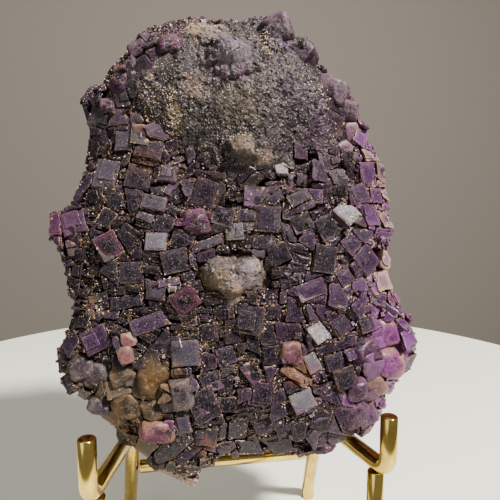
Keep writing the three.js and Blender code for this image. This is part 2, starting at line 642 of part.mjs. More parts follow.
const part = new THREE.Group();
part.name = 'purple_fluorite_on_stand';
const bounds = new THREE.Box3();
pieces.forEach(([name, geometry, material]) => {
  const mesh = new THREE.Mesh(geometry, material);
  mesh.name = name;
  bounds.expandByObject(mesh);
  part.add(mesh);
});
const middle = bounds.getCenter(new THREE.Vector3());
part.position.set(-middle.x, -middle.y, -bounds.min.z);
part.updateMatrixWorld(true);

export default part;
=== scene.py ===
"""Purple fluorite plate on a brass rod stand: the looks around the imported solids."""

import math
from functools import reduce

import bmesh
import bpy
import numpy as np
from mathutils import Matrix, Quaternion, Vector
from mathutils.bvhtree import BVHTree
from mathutils.kdtree import KDTree


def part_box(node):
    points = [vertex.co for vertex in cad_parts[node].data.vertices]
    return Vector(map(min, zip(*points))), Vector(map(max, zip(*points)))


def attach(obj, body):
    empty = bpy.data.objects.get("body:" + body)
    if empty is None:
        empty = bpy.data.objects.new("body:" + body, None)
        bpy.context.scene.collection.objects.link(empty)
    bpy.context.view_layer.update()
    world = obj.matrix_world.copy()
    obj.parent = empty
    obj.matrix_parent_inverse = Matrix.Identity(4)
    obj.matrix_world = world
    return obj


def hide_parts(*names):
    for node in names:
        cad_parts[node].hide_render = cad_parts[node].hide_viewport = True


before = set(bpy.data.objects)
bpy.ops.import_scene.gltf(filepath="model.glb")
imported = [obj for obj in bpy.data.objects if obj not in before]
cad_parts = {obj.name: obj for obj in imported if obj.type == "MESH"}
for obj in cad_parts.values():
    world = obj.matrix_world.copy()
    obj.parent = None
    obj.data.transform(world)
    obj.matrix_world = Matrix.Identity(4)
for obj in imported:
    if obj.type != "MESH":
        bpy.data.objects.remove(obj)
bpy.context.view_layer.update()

MM = 0.001
RANDOM = np.random.default_rng(11)

# Stand, in millimetres from the middle between the prongs on the ground
ROD = 4.0
ROD_SIDES = 32
ARM_HEIGHT = 38.0
PRONG_RISE = 13.4
PRONG_HALF_SPACING = 33.9
ARM_RUN = 32.0
ARM_TOE_IN = math.radians(13)
BEND_RADIUS = 4.0
FOOT_BEND_RADIUS = 3.0
FRONT_LEG_SETBACK = 4.6
REAR_FOOT_BACK = 52.0
REAR_FOOT_OUT = 3.0
BACK_REST_HEIGHT = 92.0
BACK_REST_SLOPE = math.radians(12)
CROSSBAR_HEIGHT = 22.0
SOLDER_GAP = 0.3

# Specimen frame: u across, v up its leaning face, w out of it, set out in millimetres at SCALE
SCALE = 0.932
LEAN = math.radians(12)
SIDE_SHIFT = -1.1
BASE_BACK = 13.4
BASE_HEIGHT = 35.4

left_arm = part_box("left_prong_arm")
right_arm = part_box("right_prong_arm")
MID_X = (left_arm[0].x + right_arm[1].x) / 2
FRONT_Y = right_arm[0].y + ROD / 2 * MM
ORIGIN = np.array([MID_X + SIDE_SHIFT * MM, FRONT_Y + BASE_BACK * MM, BASE_HEIGHT * MM])
AXES = np.array([
    [1, 0, 0],
    [0, math.sin(LEAN), math.cos(LEAN)],
    [0, -math.cos(LEAN), math.sin(LEAN)],
])


def to_world(points):
    return ORIGIN + np.asarray(points, float) @ AXES * (SCALE * MM)


def to_own(points):
    return (np.asarray(points, float) - ORIGIN) @ AXES.T / (SCALE * MM)


def unit(vectors):
    vectors = np.asarray(vectors, float)
    return vectors / np.linalg.norm(vectors, axis=-1, keepdims=True)


# Camera and key light
CAMERA_AZIMUTH = math.radians(9.3)
CAMERA_DROP = math.radians(5.7)
CAMERA_PLACE = np.array([MID_X - 16.2 * MM, FRONT_Y - 105.3 * MM, 101.4 * MM])
CAMERA_LENS = 36.0
KEY_LIGHT_PLACE = np.array([0.46, -0.66, 0.88])

camera_data = bpy.data.cameras.new("camera")
camera_data.lens = CAMERA_LENS
camera_data.sensor_width = 36.0
camera_data.clip_start = 0.005
camera = bpy.data.objects.new("camera", camera_data)
bpy.context.scene.collection.objects.link(camera)
camera.location = CAMERA_PLACE
look = Vector((
    math.sin(CAMERA_AZIMUTH) * math.cos(CAMERA_DROP),
    math.cos(CAMERA_AZIMUTH) * math.cos(CAMERA_DROP),
    -math.sin(CAMERA_DROP),
))
camera.rotation_euler = look.to_track_quat("-Z", "Y").to_euler()
bpy.context.scene.camera = camera


# Materials
FLUORITE_IOR = 1.434


def linear(red, green, blue):
    """A screen colour, each channel up to 255, as the linear colour that a node takes."""
    def one(value):
        value /= 255
        return value / 12.92 if value <= 0.04045 else ((value + 0.055) / 1.055) ** 2.4
    return (one(red), one(green), one(blue), 1.0)


class Shader:
    """A material under construction, with short calls for its nodes."""

    def __init__(self, name):
        self.material = bpy.data.materials.new(name)
        self.material.use_nodes = True
        self.tree = self.material.node_tree
        self.surface = self.tree.nodes["Principled BSDF"]
        self.place = self.node("ShaderNodeTexCoord").outputs["Object"]

    def node(self, kind, **values):
        node = self.tree.nodes.new(kind)
        for key, value in values.items():
            setattr(node, key, value)
        return node

    def link(self, source, target):
        self.tree.links.new(source, target)

    def put(self, target, value):
        if hasattr(value, "is_output"):
            self.link(value, target)
        else:
            target.default_value = value

    def noise(self, size, detail=2.0, roughness=0.55, stretch=None):
        place = self.place
        if stretch:
            mapping = self.node("ShaderNodeMapping")
            mapping.inputs["Scale"].default_value = stretch
            self.link(place, mapping.inputs["Vector"])
            place = mapping.outputs["Vector"]
        node = self.node("ShaderNodeTexNoise")
        node.inputs["Scale"].default_value = 1 / (size * MM)
        node.inputs["Detail"].default_value = detail
        node.inputs["Roughness"].default_value = roughness
        self.link(place, node.inputs["Vector"])
        return node.outputs["Fac"]

    def cells(self, size):
        """Two random values for each cell of a Voronoi pattern."""
        node = self.node("ShaderNodeTexVoronoi")
        node.inputs["Scale"].default_value = 1 / (size * MM)
        self.link(self.place, node.inputs["Vector"])
        split = self.node("ShaderNodeSeparateColor")
        self.link(node.outputs["Color"], split.inputs[0])
        return split.outputs[0], split.outputs[1]

    def ramp(self, value, low, high, out_low=0.0, out_high=1.0):
        node = self.node("ShaderNodeMapRange")
        self.put(node.inputs["Value"], value)
        limits = {"From Min": low, "From Max": high, "To Min": out_low, "To Max": out_high}
        for title, limit in limits.items():
            node.inputs[title].default_value = limit
        return node.outputs["Result"]

    def math(self, kind, first, second=0.0):
        node = self.node("ShaderNodeMath", operation=kind)
        self.put(node.inputs[0], first)
        self.put(node.inputs[1], second)
        return node.outputs[0]

    def product(self, *values):
        return reduce(lambda first, second: self.math("MULTIPLY", first, second), values)

    def total(self, *values):
        return reduce(lambda first, second: self.math("ADD", first, second), values)

    def mix(self, share, first, second):
        node = self.node("ShaderNodeMix", data_type="RGBA")
        self.put(node.inputs[0], share)
        self.put(node.inputs[6], first)
        self.put(node.inputs[7], second)
        return node.outputs[2]

    def vector(self, kind, source, value=None):
        """A vector math node whose second vector, where it has one, is a constant."""
        node = self.node("ShaderNodeVectorMath", operation=kind)
        self.link(source, node.inputs[0])
        if value is not None:
            node.inputs[1].default_value = value
        return node.outputs["Value" if kind in ("DISTANCE", "LENGTH") else "Vector"]

    def own_plane(self):
        """The point's u and v in the specimen frame, as the X and Z of a vector."""
        turned_back = self.node("ShaderNodeVectorRotate", rotation_type="X_AXIS")
        self.link(self.vector("SUBTRACT", self.place, ORIGIN), turned_back.inputs["Vector"])
        turned_back.inputs["Angle"].default_value = LEAN
        return self.vector("MULTIPLY", turned_back.outputs[0], (1 / (SCALE * MM), 0, 1 / (SCALE * MM)))

    def tinted(self, colour, patches):
        """The colour with soft-edged patches over it, each u, v, radius, colour and strength."""
        plane = self.own_plane()
        ragged = self.noise(3.4, detail=3.0)
        for u, v, radius, tint, strength in patches:
            wave = self.ramp(ragged, 0.3, 0.7, -0.45 * radius, 0.45 * radius)
            gap = self.total(self.vector("DISTANCE", plane, (u, 0, v)), wave)
            colour = self.mix(self.ramp(gap, radius * 0.45, radius * 1.1, strength, 0.0), colour, tint)
        return colour

    def openness(self, reach, inside=False):
        """1 in the open and 0 deep in a crevice; from inside, 1 on broad faces and less along sharp edges."""
        node = self.node("ShaderNodeAmbientOcclusion", samples=5, inside=inside, only_local=False)
        node.inputs["Distance"].default_value = reach * MM
        return node.outputs["AO"]

    def specks(self, grain, clusters, deep, in_crevices, elsewhere):
        """Brightness of strewn specks, thick in the crevices, and the two random values of their cells."""
        pick, shade = self.cells(grain)
        share = self.product(clusters, self.total(self.product(deep, in_crevices), elsewhere))
        over = self.math("SUBTRACT", self.total(pick, share), 1.0)
        return self.ramp(self.product(over, 8.0), 0.0, 1.0), pick, shade

    def bump(self, height, depth, strength=1.0):
        node = self.node("ShaderNodeBump")
        node.inputs["Strength"].default_value = strength
        node.inputs["Distance"].default_value = depth * MM
        self.link(height, node.inputs["Height"])
        self.link(node.outputs["Normal"], self.surface.inputs["Normal"])

    def set(self, **values):
        for key, value in values.items():
            self.put(self.surface.inputs[key.replace("_", " ")], value)


CREAM = linear(222, 204, 176)
SAND = linear(176, 146, 108)
ORANGE = linear(176, 130, 82)
PALE_GREY = linear(178, 173, 172)
PAINTED_CREVICE_SHADE = linear(20, 14, 13)
NEAR_BLACK = linear(15, 12, 15)
SLATE = linear(62, 56, 66)
PALE_SLATE = linear(112, 104, 112)
DEEP_PURPLE = linear(42, 22, 44)
PURPLE = linear(68, 40, 74)
LILAC = linear(150, 112, 154)
OCHRE = linear(146, 118, 80)
RUST = linear(120, 70, 48)
WORN_EDGE_AND_HIGHLIGHT = linear(118, 84, 80)
DUST_AND_SHEEN_FILM = linear(156, 142, 146)
DUST_TONE = linear(140, 126, 134)
WARM_LINE = linear(148, 124, 104)
ROSE_LINE = linear(112, 88, 96)

# Patches over the mass, the dome, the knob and the back: stains and tones, a painted glow in lilac at the
# right edge of the mass, and darker patches in the dome's hollows and along its crack; u, v, radius, colour
# and strength of each
MASS_PATCHES = [
    (-19, 25, 6, linear(118, 96, 64), 0.45), (-26, 23, 7, linear(98, 88, 72), 0.35),
    (-29, 15, 6, OCHRE, 0.3), (-36, 43.5, 2.4, ORANGE, 0.15), (-22, 80, 4, RUST, 0.2),
    (16, 25, 4.5, RUST, 0.45), (-8, 8, 2.6, RUST, 0.5), (43, 30, 9, linear(150, 88, 160), 0.45),
    (36, 20, 7, linear(126, 76, 118), 0.3), (-43, 63, 7, linear(112, 70, 100), 0.3),
]
DOME_PATCHES = [
    (2, 93.5, 6.5, linear(94, 86, 70), 0.5), (-14.2, 91, 2.4, OCHRE, 0.55),
    (-13.2, 87.6, 2.4, linear(136, 108, 70), 0.6), (-14.2, 83.4, 2.6, OCHRE, 0.5),
    (-14.6, 80.4, 2.2, OCHRE, 0.4), (-16.0, 89.4, 1.7, NEAR_BLACK, 0.95),
    (-15.8, 86.4, 1.7, NEAR_BLACK, 0.95), (-16.2, 83.8, 1.2, NEAR_BLACK, 0.8),
    (-9, 97, 4, linear(104, 84, 74), 0.35), (-8, 115, 5.5, linear(142, 126, 104), 0.6),
    (0.8, 104.2, 6.8, linear(116, 106, 118), 0.75), (3, 100.8, 2.2, linear(90, 54, 74), 0.45),
    (-2.6, 100.4, 2, linear(84, 52, 70), 0.5), (-15, 110, 4.0, linear(98, 54, 84), 0.85),
    (-10, 86, 7, linear(36, 35, 36), 0.85), (19, 95, 9, linear(58, 48, 62), 0.7),
    (-9, 104, 5, linear(92, 82, 90), 0.5), (13, 111, 6, linear(84, 70, 88), 0.7),
    (2.6, 82, 3.8, linear(124, 110, 96), 0.7), (9, 79, 3.2, linear(124, 108, 98), 0.6),
    (13.4, 83.6, 3.4, linear(40, 28, 44), 0.85), (-3, 112, 4, linear(112, 100, 104), 0.6),
    (25, 88, 5, linear(66, 46, 68), 0.6), (28, 92, 5, linear(84, 58, 84), 0.5),
    (-21, 96, 5, linear(60, 46, 58), 0.5),
]
KNOB_PATCHES = [
    (-5, 48, 3.5, linear(128, 112, 84), 0.5), (4, 51, 4.5, linear(126, 116, 124), 0.7),
    (0, 46, 2.6, OCHRE, 0.25),
]
BACK_PATCHES = [
    (-20, 95, 16, linear(70, 44, 78), 0.7), (22, 60, 18, linear(128, 112, 116), 0.6),
    (-18, 50, 15, linear(112, 92, 84), 0.6), (12, 104, 12, linear(134, 116, 108), 0.5),
    (20, 22, 14, linear(84, 54, 90), 0.7), (-24, 20, 12, OCHRE, 0.35), (0, 76, 10, linear(52, 36, 58), 0.7),
]


def mineral(name, dark, mid, pale, specks, dust, relief, rough, crevice_specks=0.3, grain=0.42, even=0.15,
            clearness=0.0, edge_share=0.35, patches=MASS_PATCHES, depth=0.9, layered=0.0, orange=0.14,
            sparkle=(SAND, CREAM)):
    """Grainy fluorite, dusty, with painted shade in its crevices and pale specks thick there, partly grains
    and partly painted glints; its edges paler, partly worn and partly a painted highlight.
    """
    s = Shader(name)
    crystal = s.noise(4.4, detail=1.5)
    film = s.noise(0.9, detail=4.0, roughness=0.7)
    colour = s.mix(s.ramp(crystal, 0.36, 0.62), dark, mid)
    if layered:
        bands = s.noise(1.6, stretch=(0.6, 7, 0.6))
        colour = s.mix(s.product(s.ramp(bands, 0.48, 0.7), layered), colour, pale)
    colour = s.tinted(colour, patches)
    colour = s.mix(s.product(s.ramp(film, 0.45, 0.8), dust), colour, pale)
    # Painted shade: the colour darkens where the crevices close in, as far as the depth share allows.
    deep = s.ramp(s.openness(1.9), 0.82, 0.3)
    colour = s.mix(s.product(deep, depth), colour, PAINTED_CREVICE_SHADE)
    # Paler along sharp edges: partly wear, partly a painted edge highlight.
    sharp = s.ramp(s.openness(0.3, inside=True), 0.9, 0.45)
    broken = s.ramp(s.noise(1.5, detail=4.0, roughness=0.7), 0.42, 0.6)
    colour = s.mix(s.product(sharp, broken, edge_share), colour, WORN_EDGE_AND_HIGHLIGHT)
    # Pale specks, thick in the crevices: partly pale grains, partly painted glints.
    clusters = s.ramp(s.noise(2.8, detail=3.0, roughness=0.65), 0.36, 0.62, even, 1.7)
    bright, pick, shade = s.specks(grain, clusters, deep, crevice_specks, specks)
    tone = s.mix(s.ramp(shade, 0.55, 0.95), *sparkle)
    tone = s.mix(s.math("GREATER_THAN", shade, 0.86), tone, PALE_GREY)
    tone = s.mix(s.math("LESS_THAN", shade, orange), tone, ORANGE)
    colour = s.mix(bright, colour, tone)
    s.set(Base_Color=colour, IOR=FLUORITE_IOR, Transmission_Weight=clearness)
    s.set(Roughness=s.ramp(film, 0.3, 0.75, *rough))
    s.bump(s.total(s.product(film, 0.7), s.product(bright, 0.8), s.product(deep, pick, 1.2)), relief)
    return s.material


def crystal_skin():
    """Fluorite coloured crystal by crystal: a dark core, a paler outer zone and worn, broken pale edges."""
    s = Shader("crystal_skin")
    core = s.node("ShaderNodeAttribute", attribute_name="core")
    rim = s.node("ShaderNodeAttribute", attribute_name="rim")
    zone = s.node("ShaderNodeAttribute", attribute_name="zone").outputs["Fac"]
    worn = s.node("ShaderNodeAttribute", attribute_name="worn").outputs["Fac"]
    film = s.noise(0.7, detail=4.0, roughness=0.7)
    inner = s.total(zone, s.ramp(s.noise(1.8, detail=1.5), 0.3, 0.7, -0.18, 0.18))
    colour = s.mix(s.ramp(inner, 0.1, 0.85), rim.outputs["Color"], core.outputs["Color"])
    colour = s.tinted(colour, MASS_PATCHES)
    # A pale film in patches: partly dust, partly a painted sheen.
    colour = s.mix(s.product(s.ramp(film, 0.46, 0.8), 0.06), colour, DUST_AND_SHEEN_FILM)
    # Painted shade: the colour darkens where the crevices close in.
    deep = s.ramp(s.openness(1.5), 0.8, 0.25)
    colour = s.mix(s.product(deep, 0.75), colour, PAINTED_CREVICE_SHADE)
    broken = s.ramp(s.noise(1.2, detail=4.0, roughness=0.7), 0.48, 0.64, 0.0, 0.7)
    line = s.mix(s.ramp(s.noise(6.0), 0.4, 0.6), WARM_LINE, ROSE_LINE)
    colour = s.mix(s.product(worn, broken), colour, line)
    # Pale specks, thick in the crevices: partly pale grains, partly painted glints.
    clusters = s.ramp(s.noise(2.6, detail=3.0, roughness=0.65), 0.4, 0.62, 0.1, 1.6)
    bright, _, shade = s.specks(0.28, clusters, deep, 0.42, 0.018)
    colour = s.mix(s.product(bright, 0.85), colour, s.mix(s.ramp(shade, 0.3, 0.9), SAND, CREAM))
    grit, tone = s.cells(0.17)
    gritty = s.ramp(s.noise(1.6, detail=3.0, roughness=0.65), 0.38, 0.66, 0.88, 0.62)
    dusty = s.product(s.math("GREATER_THAN", grit, gritty), s.ramp(tone, 0.2, 1.0, 0.05, 0.38))
    colour = s.mix(dusty, colour, DUST_TONE)
    clearness = s.product(core.outputs["Alpha"], 0.5)
    s.set(Base_Color=colour, IOR=FLUORITE_IOR, Transmission_Weight=clearness, Specular_IOR_Level=0.4)
    s.set(Subsurface_Weight=clearness, Subsurface_Radius=(1.0, 0.55, 1.0), Subsurface_Scale=1.8 * MM)
    s.set(Roughness=s.ramp(film, 0.3, 0.75, 0.15, 0.32))
    s.bump(s.total(film, s.product(s.noise(0.26), 0.6), s.product(bright, 0.6), s.product(dusty, 0.5)), 0.085)
    return s.material


# The stone's materials, in the order of the numbers that its faces hold
GRAINY, GRAINY_PURPLE, MIRROR, SUGAR, BROKEN, LUMP, CRYSTAL = range(7)
stone_materials = [
    mineral("grainy_side", NEAR_BLACK, linear(44, 36, 37), linear(112, 98, 90), specks=0.1, dust=0.35,
            relief=0.12, rough=(0.5, 0.75), layered=0.3, edge_share=0.15),
    mineral("grainy_purple_side", linear(26, 15, 26), linear(62, 38, 58), LILAC, specks=0.06, dust=0.2,
            relief=0.1, rough=(0.5, 0.75), crevice_specks=0.28, layered=0.2, edge_share=0.15),
    # The mirror facets' pale grey is a painted reflection, besides the real one that their tilt toward the
    # glare gives.
    mineral("mirror_facet", linear(70, 68, 76), linear(104, 102, 110), linear(176, 172, 172), specks=0.3,
            dust=0.6, relief=0.4, rough=(0.3, 0.5), grain=0.26, patches=[], depth=0.4, edge_share=0.0,
            sparkle=(linear(120, 116, 118), linear(190, 186, 182))),
    mineral("sugary_top", linear(31, 28, 30), linear(57, 50, 53), linear(116, 106, 104), specks=0.125,
            dust=0.35, relief=0.1, rough=(0.45, 0.75), crevice_specks=0.1, grain=0.23, patches=DOME_PATCHES,
            depth=0.6, edge_share=0.1, even=0.6, orange=0.049,
            sparkle=(linear(122, 112, 104), linear(206, 196, 186))),
    mineral("broken_stone", linear(50, 36, 54), linear(92, 74, 90), linear(160, 142, 136), specks=0.03,
            dust=0.35, relief=0.08, rough=(0.3, 0.6), grain=0.5, layered=0.2, patches=BACK_PATCHES),
    mineral("grainy_lump", linear(68, 61, 64), linear(92, 84, 86), linear(138, 129, 125), specks=0.12,
            dust=0.5, relief=0.1, rough=(0.45, 0.7), crevice_specks=0.1, grain=0.3, patches=KNOB_PATCHES,
            depth=0.4, clearness=0.1),
    crystal_skin(),
]

# Core colour, rim colour and clearness of the crystals, by tone; the mirror tone's pale grey is a painted
# reflection and the slate tone is partly the crystals' own and partly a painted sheen
LOOKS = {
    tone: (linear(*core), linear(*rim), clearness) for tone, core, rim, clearness in (
        ("black", (25, 22, 29), (48, 40, 48), 0.0), ("slate", (58, 54, 63), (76, 68, 76), 0.0),
        ("purple", (46, 32, 52), (76, 54, 78), 0.15), ("grey", (84, 82, 90), (104, 98, 104), 0.0),
        ("magenta", (72, 34, 72), (128, 80, 106), 0.3), ("stained", (76, 65, 54), (118, 99, 78), 0.2),
        ("tan_ledge", (112, 88, 104), (176, 152, 138), 0.5), ("rose_rim", (26, 22, 27), (82, 46, 64), 0.1),
        ("translucent", (104, 62, 114), (156, 116, 142), 0.6), ("lump", (104, 94, 88), (150, 136, 120), 0.3),
        ("grainy", (30, 27, 28), (60, 53, 52), 0.0), ("sugar", (86, 76, 76), (120, 108, 102), 0.1),
        ("mirror", (120, 118, 124), (150, 146, 148), 0.0), ("near_dome", (74, 60, 74), (108, 88, 98), 0.0),
    )
}


def zoned(name, core, rim, rough, clearness=0.35, glow=0.3, dust=0.2, murk=0.45, zone=(0.35, 0.85)):
    """A rounded crystal with a coloured core, murky in places, and an outer zone of another colour toward its
    outline seen from the front, partly its own colour and partly painted light scattered at its edge; painted
    shade darkens it where other surfaces close in.
    """
    s = Shader(name)
    # The outer zone follows the outline seen from the front: partly the crystal's own colour, partly painted
    # light scattered at its edge.
    generated = s.node("ShaderNodeTexCoord").outputs["Generated"]
    flat = s.vector("MULTIPLY", s.vector("SUBTRACT", generated, (0.5, 0.5, 0.5)), (2, 0, 2))
    ragged = s.total(s.vector("LENGTH", flat), s.ramp(s.noise(2.4, detail=3.0), 0.3, 0.7, -0.28, 0.28))
    core = linear(*core)
    murky = (*(channel * murk for channel in core[:3]), 1.0)
    colour = s.mix(s.ramp(ragged, *zone), s.mix(s.ramp(s.noise(1.8), 0.35, 0.65), core, murky), linear(*rim))
    film = s.noise(0.8, detail=4.0, roughness=0.7)
    colour = s.mix(s.product(s.ramp(film, 0.5, 0.8), dust), colour, linear(206, 190, 184))
    sheet = s.noise(2.6, detail=1.0, stretch=(1.0, 0.6, 1.6))
    crack = s.ramp(s.math("ABSOLUTE", s.math("SUBTRACT", sheet, 0.5)), 0.0, 0.014, 0.42, 0.0)
    colour = s.mix(crack, colour, linear(206, 176, 160))
    grit, tone = s.cells(0.2)
    speckled = s.product(s.math("GREATER_THAN", grit, 0.86), s.ramp(tone, 0.2, 1.0, 0.05, 0.4))
    colour = s.mix(speckled, colour, linear(196, 180, 172))
    # Painted shade: the colour darkens where other surfaces close in.
    deep = s.ramp(s.openness(1.4), 0.7, 0.2)
    colour = s.mix(s.product(deep, 0.75), colour, PAINTED_CREVICE_SHADE)
    s.set(Base_Color=colour, IOR=FLUORITE_IOR, Transmission_Weight=clearness, Specular_IOR_Level=0.24)
    s.set(Roughness=s.ramp(film, 0.35, 0.75, rough, rough + 0.2))
    s.set(Subsurface_Weight=glow, Subsurface_Radius=(1.0, 0.6, 0.9), Subsurface_Scale=1.6 * MM)
    s.bump(s.total(film, s.product(s.noise(0.3), 0.4)), 0.07)
    return s.material


SKINS = {
    "tan": zoned("purple_core_tan_rim", (132, 76, 132), (182, 140, 134), 0.22, dust=0.08, glow=0.25,
                 zone=(0.42, 1.1), murk=0.6),
    "lilac": zoned("purple_core_lilac_rim", (78, 50, 80), (122, 88, 112), 0.3, dust=0.08, glow=0.2,
                   zone=(0.5, 1.1)),
    "dark": zoned("dark_core_rose_rim", (44, 26, 46), (96, 62, 82), 0.36, clearness=0.2, glow=0.12, dust=0.1),
    "pink": zoned("pink_crystal", (140, 92, 98), (152, 120, 114), 0.32, murk=0.8, dust=0.3),
    "peach": zoned("violet_core_peach_rim", (112, 66, 88), (164, 126, 104), 0.36, dust=0.15, zone=(0.6, 1.1)),
    "clear_peach": zoned("peach_crystal", (124, 94, 100), (150, 120, 100), 0.28, murk=0.7, dust=0.15),
    "honey": zoned("honey_crystal", (112, 84, 44), (98, 82, 58), 0.44, glow=0.12, murk=0.5, dust=0.1),
    "olive": zoned("olive_crystal", (78, 68, 54), (122, 100, 76), 0.4, glow=0.1, murk=0.5),
    "beige": zoned("beige_crystal", (92, 78, 78), (124, 102, 92), 0.3, murk=0.7, dust=0.1),
    "rose": zoned("rose_violet_crystal", (72, 48, 74), (108, 86, 100), 0.36, clearness=0.3, murk=0.6),
    "blush": zoned("blush_crystal", (112, 78, 100), (148, 118, 126), 0.34, murk=0.7),
    "mauve": zoned("mauve_crystal", (60, 38, 60), (108, 86, 100), 0.45, glow=0.15, dust=0.3),
    "grey": zoned("grey_violet_crystal", (76, 68, 78), (106, 94, 94), 0.44, glow=0.1, murk=0.5),
}

# Rounded crystals: name, place, half sizes, spin in degrees, skin and rise over the face
GEMS = [
    ("bulb_1", (42.4, 34.2), (5.2, 4.6, 5), 10, "tan", 0.7),
    ("bulb_2", (41.6, 25.8), (5.3, 4.9, 5), -8, "tan", 0.9),
    ("bulb_3", (46.2, 29.4), (3.8, 4.2, 4.6), 6, "tan", 0.3),
    ("bulb_4", (36.6, 20.0), (4.6, 4.2, 5), 20, "clear_peach", 0.6),
    ("bulb_5", (33.6, 28.6), (4.9, 4.6, 5), 24, "lilac", 0.2),
    ("bulb_6", (30.9, 20.4), (3.3, 3.1, 4), 8, "lilac", 0.3),
    ("bulb_7", (31, 13.6), (4.4, 4.2, 5), 30, "lilac", 0.2),
    ("magenta_gem", (-9.1, 63.6), (3.5, 3.5, 4.5), 14, "dark", 0.3),
    ("pink_gem_1", (-25.9, 35.4), (2.0, 1.9, 3), 8, "pink", 0.8),
    ("pink_gem_2", (-26.6, 31.9), (1.9, 2.2, 3), 20, "pink", 0.8),
    ("peach_gem_1", (14.2, 30.2), (3.1, 3.1, 3.6), -16, "peach", 0.5),
    ("peach_gem_2", (-19.4, 12.6), (4.4, 2.5, 3.6), -10, "peach", 0.4),
    ("peach_gem_3", (-22.8, 86.5), (2.4, 3.1, 3.4), -4, "beige", 0.4),
    ("honey_lump", (-20.2, 25.4), (4.2, 3.9, 4), 10, "honey", 0.5),
    ("olive_lump_1", (-27.3, 26.5), (3.6, 3.0, 4), 20, "olive", 0.4),
    ("olive_lump_2", (-26.6, 19.4), (4.4, 3.4, 4), -14, "olive", 0.4),
    ("grey_lump_1", (-13.6, 22.4), (3.3, 4.3, 5), 6, "grey", 0.4),
    ("grey_lump_2", (-33, 26.6), (3.9, 3.5, 4), -12, "grey", 0.2),
    ("grey_lump_3", (-37.8, 29.5), (3.4, 4.1, 4), 16, "grey", 0.2),
    ("grey_lump_4", (-20.6, 18.2), (3.1, 3.5, 4), 24, "olive", 0.3),
    ("grey_lump_5", (-33.2, 19.6), (3.4, 3.0, 4), -20, "grey", 0.2),
    ("dome_gem_1", (20.6, 110.0), (4.6, 3.6, 4.4), -38, "rose", 0.2),
    ("dome_gem_2", (28.4, 99.4), (4.6, 3.3, 4.2), -34, "rose", 0.2),
    ("dome_gem_3", (32.4, 94.8), (3.6, 3.3, 4), -10, "mauve", 0.3),
    ("dome_gem_4", (33.8, 89.4), (2.8, 3.4, 4), 0, "blush", 0.2),
    ("dome_gem_5", (-15.2, 108.6), (3.0, 2.6, 3.2), 12, "dark", 0.9),
    ("dome_gem_6", (13.4, 115.0), (4.4, 4.2, 5), 20, "mauve", -0.1),
    ("dome_gem_7", (-22.4, 109.0), (2.8, 2.6, 3.4), 20, "mauve", 0.0),
    ("dome_gem_8", (-24.6, 104.6), (2.4, 2.2, 3), 50, "mauve", 0.2),
    ("dome_gem_9", (-27.6, 100.2), (2.8, 2.2, 3), 35, "lilac", 0.2),
    ("dome_gem_10", (-31.0, 95.2), (2.6, 2.4, 3), 15, "mauve", 0.2),
    ("dome_gem_11", (31.4, 84.4), (2.8, 2.4, 3), 15, "blush", 0.1),
]

# Places of the crystals whose colour stands out, by tone, each u, v and reach
PLACES = {
    "slate": [
        (-31.7, 77.1, 3.6), (-27, 85, 3), (-19.6, 68.8, 3.4), (-21.8, 65.5, 2.4), (-12.6, 31.5, 4),
        (-13.4, 14.9, 3), (-37.6, 27, 4), (17.5, 69.8, 3), (28.8, 75.8, 3),
    ],
    "stained": [
        (-22.8, 86.5, 3), (-14.5, 22.8, 4), (-29, 23.6, 4), (-24.8, 26.6, 3), (16.1, 26.9, 2),
        (14.6, 24.6, 2.8), (-26.8, 9, 4),
    ],
    "magenta": [
        (-22.4, 81.3, 2.2), (-44.5, 64.5, 3), (-17.6, 12.4, 4.2), (-9.1, 63.6, 3.8), (14.2, 30.2, 3.2),
        (-15.5, 108, 3), (20.3, 111.2, 3.6), (28, 98.4, 4.2),
    ],
    "black": [
        (-29.3, 70.5, 3.2), (-25.3, 51.4, 4.2), (-14.7, 53.9, 3.8), (-8.3, 18.8, 4.2), (3.6, 38.9, 4.2),
        (11.8, 55.1, 3), (24.8, 62.1, 3.8), (23.5, 53.6, 4), (18, 63.2, 3), (27.8, 23.2, 3.4),
        (17.2, 11.4, 4), (21.8, 13.8, 3.6), (32.6, 83.3, 3),
    ],
    "purple": [
        (-40.6, 65.3, 3.2), (-39, 62, 3), (-32.9, 54.9, 1.8), (-20.9, 39.1, 4), (-34.1, 35.3, 4),
        (20, 58.9, 3), (31.1, 57.7, 3), (35.6, 53.4, 4), (34.9, 60, 3.4), (34.6, 71.2, 3.4),
        (33.8, 28, 4.4), (30.9, 20.4, 2.8), (19.6, 45.9, 4), (27.3, 43.6, 3.6), (30.8, 46.7, 3),
        (32.1, 40.6, 2.8), (-21.3, 111.7, 3.4), (-26, 107, 3), (12.2, 115.6, 4.4), (14.8, 121.6, 4.4),
    ],
    "rose_rim": [(-30.8, 58.3, 3.6), (-12.4, 44.1, 3.2)],
    "grey": [
        (-19.2, 58.9, 3.2), (-17.2, 32.2, 2), (0.5, 61.2, 2.8), (19.3, 27.5, 2.6), (16.5, 18.2, 3.6),
        (0.4, 106, 5),
    ],
    "mirror": [
        (-16.3, 48.8, 2.6), (29.9, 65.5, 3.6), (14.4, 79.2, 2.4), (21, 34.9, 3),
    ],
    "grainy": [(-25.8, 34, 2.4)],
    "lump": [(38.9, 56, 2.2)],
    "translucent": [
        (41.7, 33.5, 4.6), (41.2, 25.8, 4.8), (46.4, 29.4, 4.6), (36.4, 20.9, 4.2), (30, 15.4, 4),
        (33.4, 95.2, 3.6), (34.4, 89, 3.4),
    ],
    "sugar": [(2.6, 81, 5), (-0.8, 49.4, 9)],
}
PLACE_TONES = [tone for tone, spots in PLACES.items() for _ in spots]
PLACE_SPOTS = np.array([spot for spots in PLACES.values() for spot in spots])

# The line of the deep crevice under the dome
CREVICE = np.array([(28, 83), (19, 79), (15, 77), (8, 72), (2, 69), (-4, 67), (-13, 72), (-21, 75)], float)

